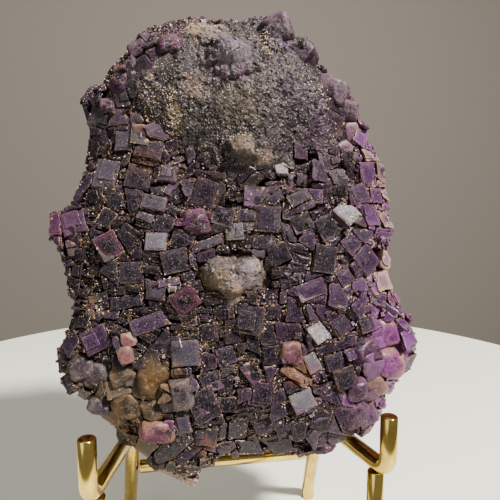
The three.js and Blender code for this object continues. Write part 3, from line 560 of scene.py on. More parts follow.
# Ellipses over the face, each a middle and two half sizes
DOME_ELLIPSE = ((4, 97), (27, 21.5))
KNOB_ELLIPSE = ((-1, 49.5), (9.5, 6.5))


def reach_in(ellipse, u, v):
    """0 in the middle of an ellipse and 1 on its edge."""
    (u0, v0), (half_u, half_v) = ellipse
    return np.hypot((u - u0) / half_u, (v - v0) / half_v)


def step(value, low, high):
    t = np.clip((value - low) / (high - low), 0, 1)
    return t * t * (3 - 2 * t)


def purple_share(u, v):
    """How purple the stone is: dark on the left, purple on the right and along its edges."""
    right = 0.55 * step(u, 2, 26) * step(-v, -84, -64)
    right_edge = 0.4 * step(u, 26, 40)
    foot = 0.35 * step(u, -6, 4) * step(-v, -20, -8)
    left_edge = 0.35 * step(-u, 34, 44)
    top = 0.3 * step(v, 96, 116)
    return float(np.clip(0.14 + right + right_edge + foot + left_edge + top, 0, 1))


def side_of(u, v):
    return GRAINY_PURPLE if RANDOM.random() < purple_share(u, v) else GRAINY


def blended(first, second, share):
    return tuple(a + (b - a) * share for a, b in zip(first, second))


def shaded(colour, factor):
    return tuple(channel * factor for channel in colour[:3])


def shaded_look(look, shade):
    core, rim, clearness, mirror = look
    return shaded(core, shade), shaded(rim, shade), clearness, mirror


def toward(core, rim, tone, share):
    """Both colours moved a share of the way to those of a tone."""
    return blended(core, LOOKS[tone][0], share), blended(rim, LOOKS[tone][1], share)


def look_of(u, v, w, slab=False):
    """Core and rim colours and clearness of the crystal at u, v, and whether it is a mirror."""
    gaps = np.hypot(PLACE_SPOTS[:, 0] - u, PLACE_SPOTS[:, 1] - v) / PLACE_SPOTS[:, 2]
    nearest = int(np.argmin(gaps))
    if gaps[nearest] < 0.7 and w > -2:
        return *LOOKS[PLACE_TONES[nearest]], PLACE_TONES[nearest] == "mirror"
    purple = float(np.clip(purple_share(u, v) - 0.06 + RANDOM.normal(0, 0.2), 0, 1))
    core, rim = toward(*LOOKS["black"][:2], "purple", purple)
    if slab:
        core, rim = blended(core, LOOKS["grainy"][0], 0.5), blended(rim, LOOKS["grainy"][1], 0.6)
    # Toward the right edge the crystals turn a paler, clearer lilac: partly real clearness, partly a painted
    # glow of light shining through.
    glow = step(u, 30, 42) * RANDOM.uniform(0.25, 0.95)
    core, rim = toward(core, rim, "translucent", glow)
    clearness = 0.15 * purple + 0.45 * glow
    if u > 36 and 36 < v < 84 and RANDOM.random() < 0.28:
        core, rim, clearness = LOOKS["tan_ledge"]
    stain = step(-u, 12, 22) * step(-v, -32, -20) * RANDOM.uniform(0, 1)
    core, rim = toward(core, rim, "stained", stain)
    ring = (1 - step(reach_in(DOME_ELLIPSE, u, v), 1.05, 1.5)) * RANDOM.uniform(0.0, 0.6)
    core, rim = toward(core, rim, "near_dome", ring)
    # Each crystal's brightness, and now and then a slate tone, varies at random: partly the crystals' own
    # tone, partly painted light for how their tilts catch it.
    shade = RANDOM.lognormal(-0.03, 0.36)
    if RANDOM.random() < 0.08:
        core = blended(core, LOOKS["slate"][0], 0.8)
    return shaded(core, shade), shaded(rim, shade ** 0.6), min(clearness, 0.7), False


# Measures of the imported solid, with its top corner trimmed by a plane through this point and with this slope
TOP_POINT = (12, 121.4, 12)
TOP_SLOPE = 0.616


def above_top(v, w):
    """How far a point stands above the plane that trims the top, measured along v."""
    return v + TOP_SLOPE * (w - TOP_POINT[2]) - TOP_POINT[1]


def give_materials(mesh, materials):
    for material in materials:
        mesh.materials.append(material)


def finished_piece(name, mesh, replaced=None):
    """The mesh as a piece of the object, riding the one body."""
    piece = bpy.data.objects.new(name, mesh)
    bpy.context.scene.collection.objects.link(piece)
    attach(piece, "root")
    if replaced:
        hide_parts(replaced)
    return piece


def mesh_from(work, name):
    """The mesh that a bmesh holds. The bmesh is freed."""
    mesh = bpy.data.meshes.new(name)
    work.to_mesh(mesh)
    work.free()
    return mesh


def tree_of(mesh):
    """A tree for rays against the mesh."""
    return BVHTree.FromPolygons([v.co[:] for v in mesh.vertices], [tuple(f.vertices) for f in mesh.polygons])


def trimmed_copy(source):
    """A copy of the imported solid's mesh with its points merged and its top corner cut off by the plane."""
    mesh = source.data.copy()
    work = bmesh.new()
    work.from_mesh(mesh)
    bmesh.ops.remove_doubles(work, verts=work.verts, dist=1e-7)
    up = Vector(unit([0, 1, TOP_SLOPE]) @ AXES)
    cut = bmesh.ops.bisect_plane(
        work, geom=[*work.verts, *work.edges, *work.faces], plane_co=to_world(TOP_POINT), plane_no=up,
        clear_outer=True)["geom_cut"]
    bmesh.ops.holes_fill(work, edges=[item for item in cut if isinstance(item, bmesh.types.BMEdge)])
    bmesh.ops.triangulate(work, faces=work.faces)
    work.to_mesh(mesh)
    work.free()
    mesh.materials.clear()
    give_materials(mesh, stone_materials)
    return mesh


solid = trimmed_copy(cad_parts["fluorite_cluster"])
solid_own = to_own([vertex.co[:] for vertex in solid.vertices])
solid_tree = tree_of(solid)
face_centres = np.array([p.center[:] for p in solid.polygons])
face_normals = np.array([p.normal[:] for p in solid.polygons])
face_areas = np.array([p.area for p in solid.polygons]) / MM ** 2


def mean_normal(members):
    """Direction in own axes of some faces of the solid, by area."""
    return unit((face_normals[members] * face_areas[members, None]).sum(0)) @ AXES.T


def flat_groups(mesh, limit=math.radians(0.5)):
    """Groups of touching faces in one plane, each a list of face indices with its boundary edges."""
    work = bmesh.new()
    work.from_mesh(mesh)
    work.faces.ensure_lookup_table()
    taken = set()
    groups = []
    for seed in work.faces:
        if seed.index in taken:
            continue
        members, rim, queue = [], [], [seed]
        taken.add(seed.index)
        while queue:
            face = queue.pop()
            members.append(face.index)
            for edge in face.edges:
                for other in edge.link_faces:
                    if other is face:
                        continue
                    if other.normal.angle(seed.normal, 9) >= limit:
                        rim.append((edge.verts[0].index, edge.verts[1].index))
                    elif other.index not in taken:
                        taken.add(other.index)
                        queue.append(other)
        groups.append((members, rim))
    work.free()
    return groups


class Facet:
    """A flat crystal face: centre, two edge directions, normal and half sizes, in own millimetres."""

    def __init__(self, centre, along, normal, halves, share):
        self.centre, self.normal, self.halves, self.share = centre, normal, halves, share
        self.along = along
        self.across = np.cross(normal, along)

    def corners(self):
        return np.array([
            self.centre + self.along * self.halves[0] * a + self.across * self.halves[1] * b
            for a, b in ((-1, -1), (1, -1), (1, 1), (-1, 1))
        ])


SMALLEST_FACET = 3.0


def facets_of(groups):
    """The larger flat faces, with the share of its rectangle that each one fills."""
    found = []
    for members, rim in groups:
        area = face_areas[members].sum() / SCALE ** 2
        if area < SMALLEST_FACET or not rim:
            continue
        normal = mean_normal(members)
        ends = solid_own[np.array(rim)]
        spans = ends[:, 1] - ends[:, 0]
        longest = spans[np.argmax(np.linalg.norm(spans, axis=1))]
        along = unit(longest - normal * (longest @ normal))
        if abs(along[0]) < abs(along[1]):
            along = np.cross(along, normal)
        if along[0] < 0:
            along = -along
        across = np.cross(normal, along)
        corners = ends.reshape(-1, 3)
        a, b = corners @ along, corners @ across
        halves = np.array([np.ptp(a), np.ptp(b)]) / 2
        centre = along * (a.max() + a.min()) / 2 + across * (b.max() + b.min()) / 2
        centre = centre + normal * (corners @ normal).mean()
        share = area / max(1e-6, 4 * halves[0] * halves[1])
        found.append(Facet(centre, along, normal, halves, share))
    return found


groups = flat_groups(solid)
facets = facets_of(groups)

# Height maps of the front, on a lattice over the specimen frame
LATTICE = 0.75
LATTICE_U = np.arange(-58, 64, LATTICE)
LATTICE_V = np.arange(-10, 138, LATTICE)
RAY_FROM = 60.0
OUTSIDE = -99.0


def met_from_front(tree, u, v):
    """The point and the normal that a ray from in front meets at u, v, or None twice."""
    return tree.ray_cast(Vector(to_world([u, v, RAY_FROM])), Vector(-AXES[2]))[:2]


def seen_heights():
    heights = np.full((len(LATTICE_V), len(LATTICE_U)), np.nan)
    for j, v in enumerate(LATTICE_V):
        for i, u in enumerate(LATTICE_U):
            hit, _ = met_from_front(solid_tree, u, v)
            if hit is not None:
                heights[j, i] = to_own(hit)[2]
    return heights


def blurred(field, sigma):
    """Gaussian blur in millimetres that leaves out the empty places."""
    reach = int(3 * sigma / LATTICE) + 1
    kernel = np.exp(-0.5 * (np.arange(-reach, reach + 1) * LATTICE / sigma) ** 2)
    value, weight = np.nan_to_num(field), np.isfinite(field).astype(float)
    for axis in (0, 1):
        value = np.apply_along_axis(lambda row: np.convolve(row, kernel, "same"), axis, value)
        weight = np.apply_along_axis(lambda row: np.convolve(row, kernel, "same"), axis, weight)
    return value / np.maximum(weight, 1e-9)


def widened(field, reach):
    """Highest value within a reach in millimetres."""
    cells = int(round(reach / LATTICE))
    best = np.where(np.isfinite(field), field, OUTSIDE)
    result = best.copy()
    for dj in range(-cells, cells + 1):
        for di in range(-cells, cells + 1):
            if dj * dj + di * di <= cells * cells:
                result = np.maximum(result, np.roll(best, (dj, di), (0, 1)))
    return np.where(np.isfinite(field), result, np.nan)


def sampled(field, u, v):
    x = np.clip((np.asarray(u) - LATTICE_U[0]) / LATTICE, 0, len(LATTICE_U) - 1.001)
    y = np.clip((np.asarray(v) - LATTICE_V[0]) / LATTICE, 0, len(LATTICE_V) - 1.001)
    i, j = x.astype(int), y.astype(int)
    a, b = x - i, y - j
    return (field[j, i] * (1 - a) * (1 - b) + field[j, i + 1] * a * (1 - b)
            + field[j + 1, i] * (1 - a) * b + field[j + 1, i + 1] * a * b)


front = seen_heights()
face_level = np.nan_to_num(front, nan=OUTSIDE)
face_cover = np.isfinite(front).astype(float)
envelope = blurred(widened(front, 3.0), 2.2)
broad = blurred(front, 4.0)


def sugar_share(u, v):
    """1 where the fine sugary cover lies."""
    return max(1 - step(reach_in(ellipse, u, v), 0.85, 1.1) for ellipse in (DOME_ELLIPSE, KNOB_ELLIPSE))


# Colour of the solid's own faces: the back begins at a depth, and the knob lies below a height
BACK_DEPTH = -9
KNOB_TOP = 65
for members, _ in groups:
    u, v, w = to_own((face_centres[members] * face_areas[members, None]).sum(0) / face_areas[members].sum())
    if mean_normal(members)[2] < -0.35 or w < BACK_DEPTH:
        index = BROKEN
    elif sugar_share(u, v) > 0.4:
        index = LUMP if v < KNOB_TOP else SUGAR
    else:
        index = side_of(u, v)
    for member in members:
        solid.polygons[member].material_index = index


def glare_direction(own_point):
    """The direction in own axes of a face that would mirror the key light into the camera."""
    place = to_world(own_point)
    return unit(unit(CAMERA_PLACE - place) + unit(KEY_LIGHT_PLACE - place)) @ AXES.T


def off_glare(axes, own_point, least):
    """Axes tilted away from the glare direction until they are some degrees off it."""
    glare = glare_direction(own_point)
    normal = axes[2]
    gap = math.degrees(math.acos(np.clip(normal @ glare, -1, 1)))
    if gap > least:
        return axes
    away = unit(normal - glare * (normal @ glare) + np.array([0, -0.05, 0]))
    aim = unit(glare * math.cos(math.radians(least)) + away * math.sin(math.radians(least)))
    across = unit(axes[1] - aim * (axes[1] @ aim))
    return np.array([np.cross(across, aim), across, aim])


def set_looks(mesh, worn, zones, cores, rims):
    """Store the values that the crystal skin reads: worn, core and rim by face, zone by face corner."""
    for title, kind, domain, slot, values in (
        ("worn", "FLOAT", "FACE", "value", worn), ("zone", "FLOAT", "CORNER", "value", zones),
        ("core", "FLOAT_COLOR", "FACE", "color", cores), ("rim", "FLOAT_COLOR", "FACE", "color", rims),
    ):
        layer = mesh.attributes.new(title, kind, domain)
        layer.data.foreach_set(slot, np.array(values, np.float32).ravel())


class Crystals:
    """Prisms to be grown into the mass, kept in batches whose members don't touch each other."""

    def __init__(self):
        self.apart = []
        self.blocks = []

    def add(self, outline, centre, axes, down, depth, look, chamfer, swell, terrace=0.0, apart=False):
        """A prism by its outline about its top's centre, along two axes, with its walls running down."""
        outline = np.asarray(outline, float)
        core, rim, clear, mirror = look
        inner = math.sqrt(abs(outline_area(outline)) / math.pi) * 0.85
        levels = [(0.0, -depth, 0.0), (0.0, -chamfer, 0.0), (chamfer, 0.0, 0.3)]
        worn = [0.0, 1.0]
        if terrace:
            levels += [(chamfer + 0.3, 0.0, 0.35), (chamfer + 0.4, terrace, 0.4)]
            worn += [0.0, 0.8]
        start = levels[-1]
        for share, zone in ((0.35, 0.75), (0.7, 1.0)):
            levels.append((start[0] + (inner - start[0]) * share, start[1] + swell * share, zone))
            worn.append(0.0)
        rings, zones = [], []
        for inset, height, zone in levels:
            flat = outline * max(1 - inset / inner, 0.12)
            rings.append(centre + flat @ axes - np.asarray(down) * height)
            zones.append(zone)
        reach = float(np.linalg.norm(outline, axis=1).max())
        middle = np.asarray(centre, float) + np.asarray(down) * depth / 2
        block = (middle, math.hypot(reach, depth / 2), rings, zones, worn, (core, rim, clear, mirror))
        (self.apart if apart else self.blocks).append(block)

    def batches(self):
        packed, centres, reaches = [], [], []
        for block in self.blocks:
            for batch, places, spans in zip(packed, centres, reaches):
                gaps = np.linalg.norm(np.array(places) - block[0], axis=1)
                if np.all(gaps > np.array(spans) + block[1] + 0.02):
                    batch.append(block)
                    places.append(block[0])
                    spans.append(block[1])
                    break
            else:
                packed.append([block])
                centres.append([block[0]])
                reaches.append([block[1]])
        return packed + ([self.apart] if self.apart else [])

    def mesh_of(self, batch, name):
        points, faces, tones, worn_faces, zone_corners, cores, rims = [], [], [], [], [], [], []
        for _, _, rings, zones, worn, (core, rim, clear, mirror) in batch:
            start, count = len(points), len(rings[0])
            points.extend(to_world(np.vstack(rings)).tolist())
            made = [(tuple(start + i for i in reversed(range(count))), 0.0, [0.0] * count)]
            for level in range(len(rings) - 1):
                for i in range(count):
                    k, j = start + level * count + i, start + level * count + (i + 1) % count
                    low, high = zones[level], zones[level + 1]
                    made.append(((k, j, j + count, k + count), worn[level], [low, low, high, high]))
            last = start + (len(rings) - 1) * count
            made.append((tuple(last + i for i in range(count)), 0.0, [zones[-1]] * count))
            for corners, wear, values in made:
                faces.append(corners)
                worn_faces.append(wear)
                zone_corners.extend(values)
            tones.extend([MIRROR if mirror else CRYSTAL] * len(made))
            cores.extend([(*core[:3], clear)] * len(made))
            rims.extend([(*rim[:3], 1.0)] * len(made))
        mesh = bpy.data.meshes.new(name)
        mesh.from_pydata(points, [], faces)
        give_materials(mesh, stone_materials)
        mesh.polygons.foreach_set("material_index", tones)
        set_looks(mesh, worn_faces, zone_corners, cores, rims)
        return mesh


def grown(name, base_mesh, crystals):
    """The base with every batch of blocks joined to it."""
    collection = bpy.context.scene.collection
    base = bpy.data.objects.new(name, base_mesh)
    collection.objects.link(base)
    helpers = []
    for i, batch in enumerate(crystals.batches()):
        helper = bpy.data.objects.new(f"{name}_batch_{i}", crystals.mesh_of(batch, f"batch_{i}"))
        collection.objects.link(helper)
        helpers.append(helper)
        modifier = base.modifiers.new(helper.name, "BOOLEAN")
        modifier.operation = "UNION"
        modifier.solver = "MANIFOLD"
        modifier.object = helper
    graph = bpy.context.evaluated_depsgraph_get()
    result = bpy.data.meshes.new_from_object(base.evaluated_get(graph))
    base.modifiers.clear()
    base.data = result
    for helper in helpers:
        bpy.data.objects.remove(helper)
    return base


# Directions and outlines
def turned(axes, spin, tip, turn):
    """Axes turned by small angles in degrees: spin about the outward one, then tip and turn."""
    s, t, r = (math.radians(x) for x in (spin, tip, turn))
    spin_m = np.array([[math.cos(s), math.sin(s), 0], [-math.sin(s), math.cos(s), 0], [0, 0, 1]])
    tip_m = np.array([[1, 0, 0], [0, math.cos(t), math.sin(t)], [0, -math.sin(t), math.cos(t)]])
    turn_m = np.array([[math.cos(r), 0, -math.sin(r)], [0, 1, 0], [math.sin(r), 0, math.cos(r)]])
    return turn_m @ tip_m @ spin_m @ np.asarray(axes, float)


def outline_area(outline):
    x, y = np.asarray(outline, float).T
    return float((x * np.roll(y, -1) - y * np.roll(x, -1)).sum() / 2)


def clipped(outline, point, normal):
    """The part of a convex outline on the outer side of a line."""
    sides = [(x - point[0]) * normal[0] + (y - point[1]) * normal[1] for x, y in outline]
    result = []
    for i, (here, side) in enumerate(zip(outline, sides)):
        before, side_before = outline[i - 1], sides[i - 1]
        if (side >= 0) != (side_before >= 0):
            t = side_before / (side_before - side)
            result.append((before[0] + (here[0] - before[0]) * t, before[1] + (here[1] - before[1]) * t))
        if side >= 0:
            result.append(here)
    return result


def softened(outline, radius):
    """The outline with its corners cut off."""
    result = []
    for i, here in enumerate(outline):
        here = np.array(here)
        for other in (outline[i - 1], outline[(i + 1) % len(outline)]):
            gap = np.array(other) - here
            length = float(np.linalg.norm(gap))
            result.append(here + gap / max(length, 1e-6) * min(radius, length * 0.3))
    kept = [point for i, point in enumerate(result) if np.linalg.norm(point - result[i - 1]) > 0.03]
    return np.array(kept)


def chipped(outline):
    """The outline with its longer sides broken a little inward."""
    result = []
    for i, here in enumerate(outline):
        result.append(here)
        along = outline[(i + 1) % len(outline)] - here
        length = float(np.linalg.norm(along))
        if length > 1.6:
            inward = np.array([-along[1], along[0]]) / length
            for share in (RANDOM.uniform(0.2, 0.45), RANDOM.uniform(0.55, 0.8)):
                result.append(here + along * share + inward * RANDOM.uniform(-0.02, 0.34))
    return np.array(result)


# Places over the surface
def surface_samples(count):
    """Random points of the solid's surface by area, in own millimetres."""
    chosen = RANDOM.choice(len(face_areas), count, p=face_areas / face_areas.sum())
    a, b = RANDOM.random((2, count))
    flip = a + b > 1
    a[flip], b[flip] = 1 - a[flip], 1 - b[flip]
    corners = np.array([[solid_own[i] for i in solid.polygons[f].vertices[:3]] for f in chosen])
    first, second, third = corners[:, 0], corners[:, 1], corners[:, 2]
    return first + a[:, None] * (second - first) + b[:, None] * (third - first)


def smooth_normals(points, radius=5.0):
    """Surface direction averaged over its surroundings, so crystals follow the broad shape."""
    own_centres = to_own(face_centres)
    own_normals = face_normals @ AXES.T * face_areas[:, None]
    result = np.empty_like(points)
    for start in range(0, len(points), 500):
        part = points[start:start + 500]
        gaps = ((part[:, None] - own_centres[None]) ** 2).sum(2)
        weight = np.exp(-gaps / radius ** 2)
        result[start:start + 500] = weight @ own_normals
    return unit(result)


def family_spin(u, v):
    return 15 * math.sin(u / 13 + v / 40) + 13 * math.cos(v / 15 - u / 30)


def crystal_axes(normal):
    up = np.array([0, 1, 0]) if abs(normal[1]) < 0.9 else np.array([0, 0, 1])
    across = unit(up - normal * (up @ normal))
    return np.array([np.cross(across, normal), across, normal])


class Crowd:
    """Keeps crystals a share of their widths apart."""

    def __init__(self, pitch, share):
        self.pitch, self.share = pitch, share
        self.cells = {}

    def takes(self, point, width):
        cell = tuple((point // self.pitch).astype(int))
        for dx in (-1, 0, 1):
            for dy in (-1, 0, 1):
                for dz in (-1, 0, 1):
                    for other, span in self.cells.get((cell[0] + dx, cell[1] + dy, cell[2] + dz), ()):
                        if np.linalg.norm(other - point) < self.share * (span + width):
                            return False
        self.cells.setdefault(cell, []).append((point, width))
        return True


def on_gem(u, v):
    return any(reach_in((place, halves[:2]), u, v) < 1.05 for _, place, halves, *_ in GEMS)


# The arms of the stand run below this height, further out than this
ARMS_TOP = 42.5 * MM
ARMS_INNER = 16.0 * MM


def near_rods(points):
    """Whether each point is where the arms of the stand run."""
    world = to_world(points)
    return (world[..., 2] < ARMS_TOP) & (abs(world[..., 0] - MID_X) > ARMS_INNER)


# A fine lattice keeps track of what the mosaic has covered. A seam is the gap between two of its crystals.
# The middle of each is at least a hold away from those laid before it, and its area is at least a share of
# the square of its length
FINE = 0.3
FINE_U = np.arange(-50, 57, FINE)
FINE_V = np.arange(-4, 131, FINE)
SEAM = 0.1
CREVICE_HALF_WIDTH = 1.0
LOWEST_FACE = 0.5
STEEPEST_FACE = 0.7
EDGE_STEPS = 3
LEAST_HOLD = 0.3
THINNEST = 0.204
KNOB_CRUST = ((0.3, 49.5), (12, 7.2))


class Mosaic:
    """Crystal outlines laid side by side over the face, each cut back by the ones laid before it."""

    CELL = 5.0

    def __init__(self):
        self.laid = []
        self.near = {}
        us, vs = np.meshgrid(FINE_U, FINE_V)
        heights = sampled(face_level, us, vs)
        slope = np.hypot(*np.gradient(np.where(np.isfinite(front), broad, 0.0), LATTICE))
        crusts = (reach_in(DOME_ELLIPSE, us, vs) < 0.9) | (reach_in(KNOB_CRUST, us, vs) < 0.84)
        self.free = (heights > LOWEST_FACE) & (sampled(slope, us, vs) < STEEPEST_FACE) & ~crusts
        self.free &= above_top(vs, heights) < -2
        for start, end in zip(CREVICE, CREVICE[1:]):
            along = end - start
            share = np.clip(((us - start[0]) * along[0] + (vs - start[1]) * along[1]) / (along @ along), 0, 1)
            gap = np.hypot(us - start[0] - share * along[0], vs - start[1] - share * along[1])
            self.free &= gap > CREVICE_HALF_WIDTH
        inside = self.free.copy()
        for shift in (-EDGE_STEPS, EDGE_STEPS):
            for axis in (0, 1):
                self.free &= np.roll(inside, shift, axis) | crusts
        self.free &= ~near_rods(np.dstack([us, vs, heights]))

    def block(self, u, v, half_u, half_v, spin):
        """Keep an ellipse free of crystals."""
        us, vs = np.meshgrid(FINE_U - u, FINE_V - v)
        c, s = math.cos(math.radians(spin)), math.sin(math.radians(spin))
        self.free &= np.hypot((us * c + vs * s) / half_u, (vs * c - us * s) / half_v) > 1

    def is_free(self, u, v):
        i, j = np.searchsorted(FINE_U, u), np.searchsorted(FINE_V, v)
        return self.free[min(j, len(FINE_V) - 1), min(i, len(FINE_U) - 1)]

    def lay(self, outline, centre, least):
        """The outline cut back by its neighbours, or None where too little is left of it."""
        outline = [tuple(self.pulled_in(np.array(point), np.array(centre))) for point in outline]
        reach = max(math.hypot(x - centre[0], y - centre[1]) for x, y in outline)
        cell = int(centre[0] // self.CELL), int(centre[1] // self.CELL)
        around = [(cell[0] + dx, cell[1] + dy) for dx in range(-2, 3) for dy in range(-2, 3)]
        for number in [number for key in around for number in self.near.get(key, ())]:
            middle, span, lines = self.laid[number]
            if math.hypot(middle[0] - centre[0], middle[1] - centre[1]) > span + reach:
                continue
            gap, x, y, nx, ny = max(
                ((centre[0] - x) * nx + (centre[1] - y) * ny, x, y, nx, ny) for x, y, nx, ny in lines
            )
            if gap < LEAST_HOLD:
                return None
            outline = clipped(outline, (x + nx * SEAM, y + ny * SEAM), (nx, ny))
            if len(outline) < 3:
                return None
        points = np.array(outline)
        if outline_area(points) < max(least, THINNEST * np.ptp(points, axis=0).max() ** 2):
            return None
        middle = points.mean(axis=0)
        edges = np.roll(points, -1, axis=0) - points
        lengths = np.linalg.norm(edges, axis=1)
        lines = [(x, y, ey / l, -ex / l) for (x, y), (ex, ey), l in zip(points, edges, lengths) if l > 0.02]
        span = float(np.linalg.norm(points - middle, axis=1).max())
        key = int(middle[0] // self.CELL), int(middle[1] // self.CELL)
        self.near.setdefault(key, []).append(len(self.laid))
        self.laid.append((tuple(middle), span, lines))
        self.cover(points, lines)
        return points

    @staticmethod
    def pulled_in(point, centre):
        """The point moved toward the centre until it is over the face."""
        for share in (1.0, 0.85, 0.7, 0.55, 0.4):
            spot = centre + (point - centre) * share
            if sampled(face_level, *spot) > LOWEST_FACE:
                break
        return spot

    def cover(self, points, lines):
        """Mark what an outline covers as no longer free."""
        (u0, v0), (u1, v1) = points.min(axis=0), points.max(axis=0)
        i0, i1 = np.searchsorted(FINE_U, (u0, u1))
        j0, j1 = np.searchsorted(FINE_V, (v0, v1))
        us, vs = np.meshgrid(FINE_U[i0:i1], FINE_V[j0:j1])
        inside = np.ones(us.shape, bool)
        for x, y, nx, ny in lines:
            inside &= (us - x) * nx + (vs - y) * ny < 0.1
        self.free[j0:j1, i0:i1] &= ~inside


def rectangle(centre, half_a, half_b, spin, skew=0.1):
    """Four corners of a slightly uneven rectangle, counterclockwise."""
    c, s = math.cos(math.radians(spin)), math.sin(math.radians(spin))
    corners = np.array([(-half_a, -half_b), (half_a, -half_b), (half_a, half_b), (-half_a, half_b)])
    corners *= RANDOM.uniform(1 - skew * 2, 1, (4, 2))
    return corners @ np.array([[c, s], [-s, c]]) + centre


def stacked_share(u, v):
    """How much of the face shows stacks of thin plates."""
    rounded = step(-u, 9, 15) * step(-v, -36, -30)
    return 0.6 * (1 - step(u, 2, 22)) * (1 - step(v, 70, 80)) * step(u, -42, -36) * (1 - rounded) + 0.04


# The way that the mosaic's prisms run down, how deep and steep they may be, and how many degrees they and the
# rounded crystals stay off the glare
STRAIGHT_IN = (0, 0, -1)
DEEPEST_TILE = 7.0
STEEPEST_TILE = 0.75
TILE_OFF_GLARE = 18.0
GEM_OFF_GLARE = 17.0


def raise_tile(crystals, outline, normal, level, look, slab=False, terrace=0.0):
    """Turn an outline of the mosaic into a prism that clears the solid under it."""
    middle = outline.mean(axis=0)
    spot = np.array([*middle, level])
    mirror = look[3]
    if mirror:
        normal = unit(glare_direction(spot) + [0.05, 0, 0.03])
    else:
        normal = off_glare(crystal_axes(normal), spot, TILE_OFF_GLARE)[2]
    slopes = np.clip(-normal[:2] / max(normal[2], 0.3), -STEEPEST_TILE, STEEPEST_TILE)
    inner = np.vstack([middle + (outline - middle) * 0.7, middle])
    under = sampled(face_level, inner[:, 0], inner[:, 1])
    plane = (inner - middle) @ slopes
    top = np.array([*middle, max(level, float(np.quantile(under - plane, 0.8)) + 0.15)])
    local = softened(outline - middle, 0.1 if slab or mirror else RANDOM.uniform(0.15, 0.7))
    if outline_area(outline) > 7 and not mirror:
        local = chipped(local)
    axes = np.array([[1, 0, slopes[0]], [0, 1, slopes[1]]])
    depth = top[2] - float(under.min()) + 1.2 + float(np.abs(plane).max())
    crystals.add(local, top, axes, STRAIGHT_IN, min(depth, DEEPEST_TILE), look,
                 chamfer=0.08 if slab else 0.2, swell=0.02 if slab else 0.12, terrace=terrace, apart=True)
    if not slab and not mirror and outline_area(outline) > 5 and RANDOM.random() < 0.45:
        grow_step(crystals, local, top, axes, look)


def grow_step(crystals, local, centre, axes, look):
    """A smaller crystal grown over one side of a larger one, a little higher and turned a little."""
    share = RANDOM.uniform(0.45, 0.8)
    spin = math.radians(RANDOM.normal(0, 5))
    turn = np.array([[math.cos(spin), math.sin(spin)], [-math.sin(spin), math.cos(spin)]])
    toward_side = local[RANDOM.integers(len(local))] * (1 - share) * RANDOM.uniform(0.6, 1.05)
    shade = RANDOM.lognormal(0, 0.18)
    slopes = axes[:, 2] + RANDOM.normal(0, 0.04, 2)
    tilted = np.array([[1, 0, slopes[0]], [0, 1, slopes[1]]])
    place = centre + toward_side @ axes + np.array([0, 0, RANDOM.uniform(0.18, 0.6)])
    crystals.add(local @ turn * share, place, tilted, STRAIGHT_IN, 1.6, shaded_look(look, shade),
                 chamfer=0.12, swell=0.04)


def broken_corner(corners, middle, distance):
    """The outline with what lies past a distance from its middle cut off, in a random direction."""
    angle = RANDOM.uniform(0, 2 * math.pi)
    away = np.array([math.cos(angle), math.sin(angle)])
    spot = middle - away * distance * RANDOM.uniform(0.62, 0.95)
    return clipped([tuple(point) for point in corners], spot, away)


# Half sizes of a leading crystal, and the height above which a wide one isn't laid
LEADING_HALVES = (1.2, 6.5)
LEADING_TOP = 88
WIDE_HALF = 4.2


def leading_tiles(mosaic):
    """Outlines from the solid's own crystal faces, the ones nearest to the envelope first."""
    tiles = []
    rising = [f for f in facets if f.normal[2] > 0.5 and f.share > 0.45 and f.centre[2] > -3
              and min(f.halves) > LEADING_HALVES[0] and max(f.halves) < LEADING_HALVES[1]]
    for facet in sorted(rising, key=lambda f: float(sampled(envelope, *f.centre[:2])) - f.centre[2]):
        corners = facet.corners()[:, :2]
        if outline_area(corners) < 0:
            corners = corners[::-1]
        middle = corners.mean(axis=0)
        sugary = sugar_share(*middle) > 0.3 or max(sugar_share(*point) for point in corners) > 0.9
        too_wide = middle[1] > LEADING_TOP and max(facet.halves) > WIDE_HALF
        if not mosaic.is_free(*middle) or sugary or too_wide:
            continue
        outline = mosaic.lay(corners, middle, 4.0)
        if outline is not None:
            tiles.append((outline, "leading", facet))
    return tiles


# The crystals that fill the face: half sizes, smallest area and pitch of each round
FILLING_ROUNDS = (((1.9, 3.3), 5.0, 1.6), ((1.1, 1.9), 1.8, 0.9), ((0.6, 1.0), 0.6, 0.6))


def filling_tiles(mosaic, sizes, least, pitch):
    """Outlines of a range of half sizes, laid where the mosaic is still free."""
    tiles = []
    order = RANDOM.permutation(mosaic.free.size)
    tried = np.zeros(mosaic.free.shape, bool)
    skip = max(1, int(round(pitch / FINE / 2)))
    for flat in order:
        j, i = divmod(int(flat), len(FINE_U))
        if not mosaic.free[j, i] or tried[j, i]:
            continue
        tried[max(0, j - skip):j + skip + 1, max(0, i - skip):i + skip + 1] = True
        u, v = FINE_U[i], FINE_V[j]
        half = RANDOM.uniform(*sizes)
        stacked = sizes[0] > 1 and RANDOM.random() < stacked_share(u, v)
        if stacked:
            corners = rectangle((u, v), half * 1.25, half * 0.95, family_spin(u, v) + RANDOM.normal(0, 6))
        else:
            half *= 1 + 0.35 * step(u, 4, 18)
            other_half = half * RANDOM.uniform(0.7, 1.0)
            corners = rectangle((u, v), half, other_half, family_spin(u, v) + RANDOM.normal(0, 12))
            if RANDOM.random() < 0.5:
                corners = broken_corner(corners, np.array([u, v]), half)
        outline = mosaic.lay(corners, (u, v), least)
        if outline is not None:
            tiles.append((outline, "stack" if stacked else "tile", half))
    return tiles


